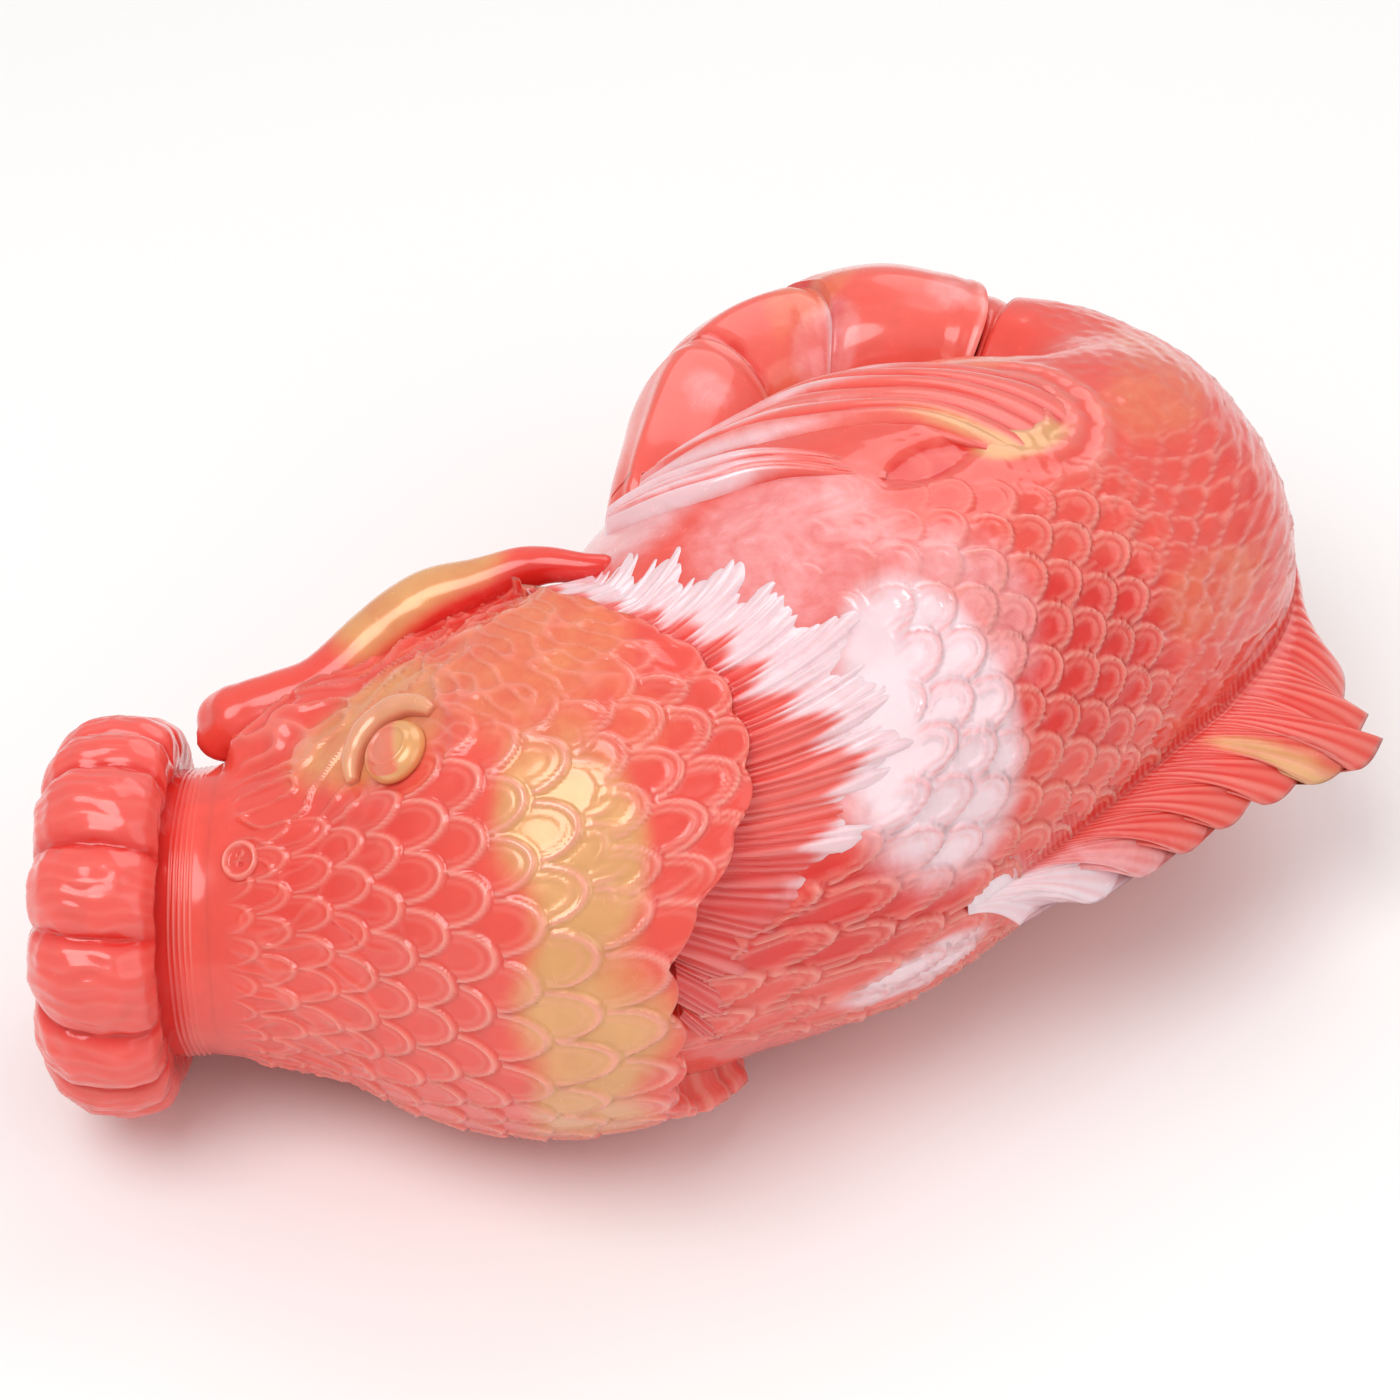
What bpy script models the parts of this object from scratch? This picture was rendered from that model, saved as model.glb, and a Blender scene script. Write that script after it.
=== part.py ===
"""Carp of soft silicone, curled on its left side, with an open mouth at the -X end.

The fish is a chain of sections swept along a curved line in plan. Each section is an ellipse that stands
upright across the line: its half depth lies in plan, towards the back, and its half thickness lies along Z.
The angle round a section is 0 on top, 90 degrees on the fish's back and -90 degrees on its belly, so the
mirrored place on the underside is 180 degrees less the angle. Lengths are in millimetres until a mesh is made.
"""

import math

import bmesh
import bpy
import numpy as np
from mathutils import Matrix, Vector

MM = 0.001

# Fits: the room between castings, and how far a cutter runs past what it cuts
CLEARANCE = 0.3
OVERCUT = 5.0

# Length of each casting along the line, and the places where each one ends
COLLAR_END = 9.5
HEAD_LENGTH = 65.5
BODY_LENGTH = 121.0
STALK_LENGTH = 8.0
LOBE_1_LENGTH = 26.0
LOBE_2_LENGTH = 22.0
LOBE_3_LENGTH = 36.0
HEAD_END = COLLAR_END + HEAD_LENGTH
BODY_END = HEAD_END + BODY_LENGTH
STALK_END = BODY_END + STALK_LENGTH
LOBE_1_END = STALK_END + LOBE_1_LENGTH
LOBE_2_END = LOBE_1_END + LOBE_2_LENGTH
LOBE_3_END = LOBE_2_END + LOBE_3_LENGTH
LINE_START = -20.0
LINE_END = LOBE_3_END + 12.0
LINE_STEP = 0.1

# The tables of places below are drawn for joints at these places, and stretched to where the joints really are.
DRAWN_JOINTS = [-20.0, 9.5, 75.0, 196.0, 204.0, 230.0, 252.0, 288.0, 300.0]
JOINTS = [LINE_START, COLLAR_END, HEAD_END, BODY_END, STALK_END, LOBE_1_END, LOBE_2_END, LOBE_3_END, LINE_END]


def stretched(place):
    """The place on the line for a place in the tables."""
    return np.interp(place, DRAWN_JOINTS, JOINTS)


def fitted(table):
    """A table whose rows start with a place, with each place stretched."""
    return [(stretched(row[0]), *row[1:]) for row in table]


# The swept line in plan: its first heading in degrees, then (turn in degrees, where it starts, where it ends),
# measured along the line from a point just behind the lips
FIRST_HEADING = 8.0
TURNS = [
    (turn, stretched(start), stretched(end))
    for turn, start, end in [(6, 2, 26), (39, 44, 96), (124, 150, 208), (85, 211, 265)]
]

# Sections: (place on the line, half depth to the back, half depth to the belly, half thickness, middle height)
HEAD_SECTIONS = fitted(
    [
        (0, 20.0, 21.0, 20.5, 30.0),
        (8, 20.0, 22.0, 21.0, 30.2),
        (22, 24.5, 27.5, 25.5, 32.0),
        (38, 34.5, 37.0, 33.0, 34.7),
        (54, 42.0, 42.0, 38.0, 37.2),
        (66, 42.5, 42.5, 39.0, 38.5),
        (76, 41.0, 41.0, 38.5, 39.0),
    ]
)
BODY_SECTIONS = fitted(
    [
        (74, 37.0, 37.0, 36.0, 38.5),
        (88, 41.0, 41.0, 39.5, 39.3),
        (104, 43.0, 43.0, 41.8, 41.0),
        (120, 43.0, 43.0, 42.0, 41.3),
        (136, 42.0, 42.0, 40.5, 41.3),
        (152, 41.0, 33.0, 38.0, 41.0),
        (168, 35.5, 17.0, 34.0, 40.5),
        (182, 24.0, 13.0, 27.5, 41.0),
        (196, 18.0, 15.0, 23.0, 42.5),
    ]
)
STALK_SECTIONS = fitted(
    [(196, 17.0, 13.5, 22.0, 42.5), (200, 16.8, 14.0, 21.7, 43.3), (204, 16.5, 14.5, 21.5, 44.0)]
)
LOBE_1_SECTIONS = fitted(
    [(204, 18.0, 15.5, 23.5, 44.5), (216, 18.5, 18.0, 25.0, 44.0), (230, 14.5, 19.0, 25.5, 40.5)]
)
LOBE_2_SECTIONS = fitted(
    [(230, 14.5, 20.0, 26.5, 39.0), (240, 12.5, 19.5, 27.0, 37.8), (252, 9.5, 19.0, 27.0, 36.5)]
)
LOBE_3_SECTIONS = fitted(
    [
        (252, 11.0, 20.0, 28.5, 35.5),
        (264, 8.5, 20.0, 28.5, 34.5),
        (276, 7.0, 18.0, 27.0, 33.5),
        (288, 5.0, 14.0, 21.0, 33.0),
    ]
)
ROUND_END = 8.0

# Lips and mouth
LIP_RADIUS = 29.0
LIP_WIDTH = 17.0
LIP_BACK = 1.5
LIP_ROUNDING = 8.0
LIP_BACK_RADIUS = 22.0
LIP_BACK_BULGE = 0.7
LIP_STEPS = 36
MOUTH_RADIUS = 11.0
MOUTH_DEPTH = 64.0
MOUTH_SIDES = 28
MOUTH_HEIGHT = HEAD_SECTIONS[0][4]
# The eased front edge of the mouth: (how far outside its radius, how far behind the front of the lips)
MOUTH_EDGE = [(3.0, 0.0), (0.8, 1.4), (0.0, 4.0)]

# Eye, brow and nostril: place on the line, angle, and sizes
EYE_PLACE, EYE_ANGLE = stretched(36.0), 11.0
EYE_RADIUS = 4.8
EYE_HEIGHT = 2.6
BROW_RADIUS = 8.2
BROW_THICKNESS = 1.8
BROW_FROM, BROW_TO = 35.0, 192.0
BROW_TAPER = 0.8
BROW_STEPS = 13
NOSTRIL_PLACE, NOSTRIL_ANGLE = stretched(14.0), 28.0
NOSTRIL_RADIUS = 2.4
NOSTRIL_THICKNESS = 0.8

# Throat fold: (place on the line, angle, height of its middle above the skin, its own radius)
THROAT_FOLD = fitted(
    [
        (5, -43, 4.4, 4.8),
        (12, -46, 5.0, 5.7),
        (19, -47, 3.6, 5.3),
        (26, -47, 2.0, 5.0),
        (34, -47, 2.4, 5.2),
        (42, -46, 2.8, 5.2),
        (50, -44, 1.4, 4.2),
        (62, -42, 0.4, 3.2),
        (72, -38, 0.0, 2.4),
    ]
)
THROAT_STEPS = 16

# Pectoral fins, which lie on the skin from just behind the head: edges as (angle, reach), and thickness
PECTORAL_GAP = 1.0
PECTORAL_START = HEAD_END + PECTORAL_GAP
PECTORAL_EDGE = [(-36, 6), (-15, 12), (10, 19), (32, 25), (50, 22), (66, 14), (82, 8), (92, 5)]
PECTORAL_LEFT_EDGE = [(207, 8), (220, 16), (235, 21), (250, 16), (262, 8)]
PECTORAL_THICKNESS = 2.4

# Pelvic and anal fins, which lie on the skin too: edges as (place on the line, angle), and thickness
PELVIC_LOWER = fitted([(88, -45), (91, -32), (96, -20), (102, -12), (107, -1), (110, 8)])
PELVIC_UPPER = fitted([(94, -54), (98, -42), (102, -30), (107, -20), (111, -9), (113, 4)])
PELVIC_THICKNESS = 2.6
ANAL_LOWER = fitted([(100, -54), (103, -43), (107, -30), (112, -18), (124, -3), (130, 10), (134, 21)])
ANAL_UPPER = fitted(
    [(108, -55), (116, -51), (126, -47), (139, -42), (145, -24), (150, -7), (154, 10), (152, 25)]
)
ANAL_THICKNESS = 2.8

# Dorsal fin: (place on the line, ray length, ray direction in plan)
DORSAL_RAYS = fitted(
    [
        (91, 22, 36),
        (106, 22, 30),
        (122, 23, 24),
        (136, 25, 14),
        (146, 27, 6),
        (156, 18, -2),
        (163, 12, -15),
        (169, 8, -30),
    ]
)
DORSAL_ANGLE = 92.0
DORSAL_ROOT_DEPTH = 2.0
DORSAL_DROOP = 6.0
DORSAL_THICKNESS = 3.0
DORSAL_ALONG = 22
DORSAL_ACROSS = 5

# The slab that stands for the surface the fish lies on: its sizes, and its middle in plan
FLOOR_SLAB = (400.0, 400.0, 20.0)
FLOOR_MIDDLE = (80.0, 50.0)

# How finely each surface is cut
AROUND = 32
ALONG = 4.5
FIN_ALONG = 14
FIN_ACROSS = 7

# Colours: (red, green, blue), linear
CORAL = (0.80, 0.115, 0.085)
DEEP_CORAL = (0.66, 0.055, 0.045)
GOLD = (0.78, 0.42, 0.13)
PEARL = (0.85, 0.55, 0.58)
SALMON = (0.82, 0.22, 0.18)


def clear_scene():
    """Removes every object that the scene opens with."""
    for obj in list(bpy.data.objects):
        bpy.data.objects.remove(obj, do_unlink=True)


def make_collection(name, helper=False):
    """A new collection in the scene; a helper's objects are never rendered."""
    collection = bpy.data.collections.new(name)
    bpy.context.scene.collection.children.link(collection)
    collection.hide_render = helper
    return collection


def silicone(name, colour, roughness=0.28):
    """Glossy cast silicone of one colour."""
    material = bpy.data.materials.new(name)
    material.use_nodes = True
    shader = material.node_tree.nodes["Principled BSDF"]
    shader.inputs["Base Color"].default_value = (*colour, 1.0)
    shader.inputs["Roughness"].default_value = roughness
    shader.inputs["Metallic"].default_value = 0.0
    material.diffuse_color = (*colour, 1.0)
    return material


def smoothstep(value, start, end):
    """0 before start, 1 after end, and an even ease between them."""
    share = np.clip((value - start) / (end - start), 0.0, 1.0)
    return share * share * (3.0 - 2.0 * share)


def swept_line():
    """The line's places, plan points and headings, with the plan point at place 0 on the origin."""
    places = np.arange(LINE_START, LINE_END, LINE_STEP)
    turned = sum(turn * smoothstep(places, start, end) for turn, start, end in TURNS)
    headings = np.radians(FIRST_HEADING + turned)
    middle = 0.5 * (headings[1:] + headings[:-1])
    x = np.concatenate([[0.0], np.cumsum(np.cos(middle) * LINE_STEP)])
    y = np.concatenate([[0.0], np.cumsum(np.sin(middle) * LINE_STEP)])
    return places, x - np.interp(0.0, places, x), y - np.interp(0.0, places, y), headings


LINE = swept_line()


def on_line(place):
    """Plan x, plan y and heading at a place on the line."""
    places, x, y, headings = LINE
    return np.interp(place, places, x), np.interp(place, places, y), np.interp(place, places, headings)


def through(table, column, place):
    """A smooth curve through one column of a table, read at a place, by cubic pieces with even slopes."""
    table = np.array(table, float)
    knots = table[:, 0]
    values = table[:, column]
    slopes = np.gradient(values, knots)
    piece = np.clip(np.searchsorted(knots, place, side="right") - 1, 0, len(knots) - 2)
    width = knots[piece + 1] - knots[piece]
    s = np.clip((place - knots[piece]) / width, 0.0, 1.0)
    return (
        (2 * s**3 - 3 * s**2 + 1) * values[piece]
        + (s**3 - 2 * s**2 + s) * width * slopes[piece]
        + (3 * s**2 - 2 * s**3) * values[piece + 1]
        + (s**3 - s**2) * width * slopes[piece + 1]
    )


def skin(place, angle, sections, lift=0.0):
    """Points of a swept skin at places and angles in radians, lifted off it by lift."""
    x, y, heading = on_line(place)
    back, belly, thickness, height = (through(sections, column, place) for column in (1, 2, 3, 4))
    reach = (np.where(np.sin(angle) > 0.0, back, belly) + lift) * np.sin(angle)
    return np.stack(
        [
            x + np.sin(heading) * reach,
            y - np.cos(heading) * reach,
            height + (thickness + lift) * np.cos(angle) + 0.0 * reach,
        ],
        axis=-1,
    )


def skin_normal(place, angle, sections):
    """The outward direction of the skin at one place and angle."""
    step, turn = 0.05, 0.01
    along = skin(place + step, angle, sections) - skin(place - step, angle, sections)
    around = skin(place, angle + turn, sections) - skin(place, angle - turn, sections)
    normal = Vector(np.cross(along, around))
    outward = Vector(skin(place, angle, sections, 1.0) - skin(place, angle, sections))
    return normal.normalized() if normal.dot(outward) > 0 else -normal.normalized()


def new_object(name, mesh, collection, material=None):
    """An object for a mesh, in a collection, with a material."""
    obj = bpy.data.objects.new(name, mesh)
    collection.objects.link(obj)
    if material:
        obj.data.materials.append(material)
    return obj


def mesh_from(name, points, faces):
    """A mesh of points in millimetres and faces, with its faces turned outwards."""
    mesh = bpy.data.meshes.new(name)
    mesh.from_pydata([tuple(point) for point in np.asarray(points) * MM], [], faces)
    cleaned = bmesh.new()
    cleaned.from_mesh(mesh)
    bmesh.ops.recalc_face_normals(cleaned, faces=cleaned.faces)
    cleaned.to_mesh(mesh)
    cleaned.free()
    mesh.shade_smooth()
    return mesh


def loft(name, sections, start, end, collection, material=None, lift=0.0, rounded=0.0):
    """A closed solid swept from start to end; the last stretch of length rounded closes like a dome."""
    count = max(3, round((end - start) / ALONG) + 1)
    places = np.linspace(start, end, count)
    if rounded:
        quarter = np.linspace(0.0, 0.5 * math.pi, 6)[:-1]
        places = np.concatenate([places[places < end - rounded], end - rounded + rounded * np.sin(quarter)])
    angles = np.linspace(0.0, 2.0 * math.pi, AROUND, endpoint=False)
    rings = skin(places[:, None], angles[None, :], sections, lift)
    if rounded:
        x, y, _ = on_line(places)
        middles = np.stack([x, y, through(sections, 4, places)], axis=-1)[:, None, :]
        share = np.clip((places - (end - rounded)) / rounded, 0.0, 1.0)
        rings = middles + (rings - middles) * np.sqrt(1.0 - share**2)[:, None, None]
    faces = [
        (
            ring * AROUND + side,
            (ring + 1) * AROUND + side,
            (ring + 1) * AROUND + (side + 1) % AROUND,
            ring * AROUND + (side + 1) % AROUND,
        )
        for ring in range(len(places) - 1)
        for side in range(AROUND)
    ]
    last = (len(places) - 1) * AROUND
    faces += [tuple(range(AROUND)), tuple(range(last, last + AROUND))]
    return new_object(name, mesh_from(name, rings.reshape(-1, 3), faces), collection, material)


def sheet(name, points, thickness, collection, material):
    """A closed fin: an open grid of points, thickened away from the skin by Solidify."""
    rows, columns = points.shape[:2]
    faces = [
        (row * columns + col, (row + 1) * columns + col, (row + 1) * columns + col + 1, row * columns + col + 1)
        for row in range(rows - 1)
        for col in range(columns - 1)
    ]
    mesh = bpy.data.meshes.new(name)
    mesh.from_pydata([tuple(point) for point in points.reshape(-1, 3) * MM], [], faces)
    mesh.shade_smooth()
    obj = new_object(name, mesh, collection, material)
    solidify = obj.modifiers.new("thickness", "SOLIDIFY")
    solidify.thickness = thickness * MM
    solidify.offset = 1.0
    return obj


def band_on_skin(lower, upper, lift):
    """A grid between two edges on the body's skin, each edge a list of (place, degrees)."""
    edges = []
    for edge in (lower, upper):
        steps = np.linspace(0.0, 1.0, len(edge))
        table = [(step, place, degrees) for step, (place, degrees) in zip(steps, edge)]
        along = np.linspace(0.0, 1.0, FIN_ALONG)
        edges.append((through(table, 1, along), np.radians(through(table, 2, along))))
    across = np.linspace(0.0, 1.0, FIN_ACROSS)[None, :]
    places = edges[0][0][:, None] * (1.0 - across) + edges[1][0][:, None] * across
    angles = edges[0][1][:, None] * (1.0 - across) + edges[1][1][:, None] * across
    return skin(places, angles, BODY_SECTIONS, lift)


def frill_on_skin(edge, start, lift):
    """A grid from one place on the line out to an edge given as (degrees, reach from that place)."""
    degrees = np.linspace(edge[0][0], edge[-1][0], FIN_ALONG)
    ends = start + through(edge, 1, degrees)
    across = np.linspace(0.0, 1.0, FIN_ACROSS)[None, :]
    places = start * (1.0 - across) + ends[:, None] * across
    return skin(places, np.radians(degrees)[:, None] + 0.0 * across, BODY_SECTIONS, lift)


def cut(obj, *cutters):
    """Cuts each cutter's volume out of an object."""
    for cutter in cutters:
        boolean = obj.modifiers.new("cut_" + cutter.name, "BOOLEAN")
        boolean.operation = "DIFFERENCE"
        boolean.solver = "EXACT"
        boolean.object = cutter


def as_cutter(obj):
    """Marks a helper that only cuts."""
    obj.hide_render = True
    obj.display_type = "WIRE"
    return obj


def moved_into(collection, name):
    """The object that a primitive operator has just made, named and moved into a collection."""
    obj = bpy.context.object
    obj.name = name
    for owner in list(obj.users_collection):
        owner.objects.unlink(obj)
    collection.objects.link(obj)
    return obj


def mesh_of_curve(curve, collection, material):
    """A mesh object in place of a curve object, with its caps welded on."""
    bpy.context.view_layer.update()
    evaluated = curve.evaluated_get(bpy.context.evaluated_depsgraph_get())
    mesh = bpy.data.meshes.new_from_object(evaluated)
    welded = bmesh.new()
    welded.from_mesh(mesh)
    bmesh.ops.remove_doubles(welded, verts=welded.verts, dist=0.000001)
    welded.to_mesh(mesh)
    welded.free()
    name = curve.name
    matrix = curve.matrix_world.copy()
    bpy.data.objects.remove(curve, do_unlink=True)
    obj = new_object(name, mesh, collection)
    obj.matrix_world = matrix
    obj.data.materials.clear()
    obj.data.materials.append(material)
    return obj


def tube(name, points, radii, collection, material):
    """A capped tube through points, with its own radius at each."""
    curve = bpy.data.curves.new(name, "CURVE")
    curve.dimensions = "3D"
    curve.bevel_depth = MM
    curve.bevel_resolution = 3
    curve.use_fill_caps = True
    spline = curve.splines.new("POLY")
    spline.points.add(len(points) - 1)
    for knot, point, radius in zip(spline.points, points, radii):
        knot.co = (*(np.asarray(point) * MM), 1.0)
        knot.radius = radius
    return mesh_of_curve(new_object(name, curve, collection), collection, material)


def on_head(place, degrees, lift=0.0):
    """A point on the head's skin and a frame there: local Z outwards, local X along the fish."""
    angle = math.radians(degrees)
    point = Vector(skin(place, angle, HEAD_SECTIONS, lift))
    outward = skin_normal(place, angle, HEAD_SECTIONS)
    ahead = Vector(skin(place + 1.0, angle, HEAD_SECTIONS) - skin(place - 1.0, angle, HEAD_SECTIONS))
    side = outward.cross(ahead).normalized()
    return point, side.cross(outward), side, outward


def lip_ring(collection, material):
    """Rolled lips: a closed profile turned about the mouth's axis."""
    corner = np.radians(np.linspace(0, 90, 5))
    round_middle = LIP_RADIUS - LIP_ROUNDING, LIP_WIDTH - LIP_ROUNDING
    front = [
        (round_middle[0] + LIP_ROUNDING * np.cos(a), round_middle[1] + LIP_ROUNDING * np.sin(a)) for a in corner
    ]
    inner = [(MOUTH_RADIUS + outside, LIP_WIDTH - behind) for outside, behind in MOUTH_EDGE]
    inner.append((MOUTH_RADIUS, 0.0))
    spread = LIP_RADIUS - LIP_BACK_RADIUS
    back = [(LIP_BACK_RADIUS + spread * np.sin(a), LIP_BACK_BULGE * spread * (1.0 - np.cos(a))) for a in corner]
    points = [(radius * MM, 0.0, height * MM) for radius, height in front + inner + back]
    edges = [(index, (index + 1) % len(points)) for index in range(len(points))]
    mesh = bpy.data.meshes.new("lip_ring")
    mesh.from_pydata(points, edges, [])
    obj = new_object("lip_ring", mesh, collection, material)
    screw = obj.modifiers.new("turned", "SCREW")
    screw.steps = screw.render_steps = LIP_STEPS
    screw.use_merge_vertices = True
    screw.merge_threshold = 0.00001
    screw.use_smooth_shade = True
    screw.use_normal_flip = True
    x, y, heading = on_line(LIP_BACK)
    obj.location = (x * MM, y * MM, MOUTH_HEIGHT * MM)
    obj.rotation_euler = (0.0, math.radians(-90.0), heading)
    return obj


def place_on_head(obj, place, degrees, lift=0.0):
    """Stands an object on the head's skin, with its local Z outwards and its local X along the fish."""
    point, along, side, outward = on_head(place, degrees, lift)
    obj.matrix_world = Matrix(
        (
            (along.x, side.x, outward.x, point.x * MM),
            (along.y, side.y, outward.y, point.y * MM),
            (along.z, side.z, outward.z, point.z * MM),
            (0.0, 0.0, 0.0, 1.0),
        )
    )
    return obj


def eye(name, place, degrees, collection, material, lift=0.0):
    """A flattened dome that stands out of the head's skin."""
    ball = bmesh.new()
    bmesh.ops.create_uvsphere(ball, u_segments=20, v_segments=12, radius=MM)
    wide = EYE_RADIUS + lift
    tall = EYE_HEIGHT + lift
    bmesh.ops.scale(ball, vec=(wide, wide, tall), verts=ball.verts)
    mesh = bpy.data.meshes.new(name)
    ball.to_mesh(mesh)
    ball.free()
    mesh.shade_smooth()
    return place_on_head(new_object(name, mesh, collection, material), place, degrees)


def brow(name, place, degrees, flip, collection, material):
    """A crescent of rolled skin round the front and belly side of the eye."""
    turn = np.radians(np.linspace(BROW_FROM, BROW_TO, BROW_STEPS)) * flip
    share = np.linspace(-1.0, 1.0, BROW_STEPS)
    radii = BROW_THICKNESS * np.sqrt(1.0 - BROW_TAPER * share**2)
    points = [(BROW_RADIUS * math.cos(a), BROW_RADIUS * math.sin(a), 0.0) for a in turn]
    return place_on_head(tube(name, points, radii, collection, material), place, degrees)


def nostril(name, place, degrees, collection, material):
    """A small raised ring on the snout."""
    bpy.ops.mesh.primitive_torus_add(
        major_segments=24,
        minor_segments=10,
        major_radius=NOSTRIL_RADIUS * MM,
        minor_radius=NOSTRIL_THICKNESS * MM,
    )
    obj = moved_into(collection, name)
    obj.data.materials.append(material)
    obj.data.shade_smooth()
    return place_on_head(obj, place, degrees)


def throat_fold(name, mirrored, collection, material, lift=0.0):
    """A rolled fold of skin along the throat, thick at the lips and fading out at the gills."""
    places = np.linspace(THROAT_FOLD[0][0], THROAT_FOLD[-1][0], THROAT_STEPS)
    degrees = through(THROAT_FOLD, 1, places)
    degrees = 180.0 - degrees if mirrored else degrees
    points = skin(places, np.radians(degrees), HEAD_SECTIONS, through(THROAT_FOLD, 2, places))
    return tube(name, points, through(THROAT_FOLD, 3, places) + lift, collection, material)


def dorsal_points():
    """Grid of the dorsal fin: root on the back, then out along each ray in plan."""
    places = np.linspace(DORSAL_RAYS[0][0], DORSAL_RAYS[-1][0], DORSAL_ALONG)
    roots = skin(places, math.radians(DORSAL_ANGLE), BODY_SECTIONS, -DORSAL_ROOT_DEPTH)
    lengths = through(DORSAL_RAYS, 1, places) + DORSAL_ROOT_DEPTH
    headings = np.radians(through(DORSAL_RAYS, 2, places))
    rays = np.stack([np.cos(headings), np.sin(headings), np.zeros_like(headings)], axis=-1)
    across = np.linspace(0.0, 1.0, DORSAL_ACROSS)[None, :, None]
    droop = DORSAL_DROOP * across**2 * np.array([0.0, 0.0, 1.0])
    return roots[:, None, :] + rays[:, None, :] * lengths[:, None, None] * across - droop


def floor_cutter(collection):
    """A slab under the surface that the fish lies on: what it cuts leaves a flat to rest on."""
    middle = Vector((*FLOOR_MIDDLE, -0.5 * FLOOR_SLAB[2]))
    bpy.ops.mesh.primitive_cube_add(size=1.0, location=middle * MM)
    slab = moved_into(collection, "resting_surface")
    slab.scale = Vector(FLOOR_SLAB) * MM
    return as_cutter(slab)


def mouth_cutter(collection):
    """The blind mouth bore, straight back from in front of the lips."""
    x, y, heading = on_line(LIP_BACK)
    front = -LIP_WIDTH - OVERCUT
    back = MOUTH_DEPTH - LIP_WIDTH
    middle = 0.5 * (front + back)
    centre = Vector((x + middle * np.cos(heading), y + middle * np.sin(heading), MOUTH_HEIGHT))
    bpy.ops.mesh.primitive_cylinder_add(
        vertices=MOUTH_SIDES,
        radius=MOUTH_RADIUS * MM,
        depth=(back - front) * MM,
        location=centre * MM,
        rotation=(0.0, math.radians(90.0), heading),
    )
    return as_cutter(moved_into(collection, "mouth_bore"))


def shift_to_floor(parts):
    """How far every part moves for their whole box to stand on Z = 0, centred on the origin."""
    bpy.context.view_layer.update()
    graph = bpy.context.evaluated_depsgraph_get()
    corners = []
    for obj in parts.objects:
        evaluated = obj.evaluated_get(graph)
        mesh = evaluated.to_mesh()
        corners += [evaluated.matrix_world @ vertex.co for vertex in mesh.vertices]
        evaluated.to_mesh_clear()
    corners = np.array(corners)
    low, high = corners.min(axis=0), corners.max(axis=0)
    return -0.5 * (low[0] + high[0]), -0.5 * (low[1] + high[1]), -low[2]


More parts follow.
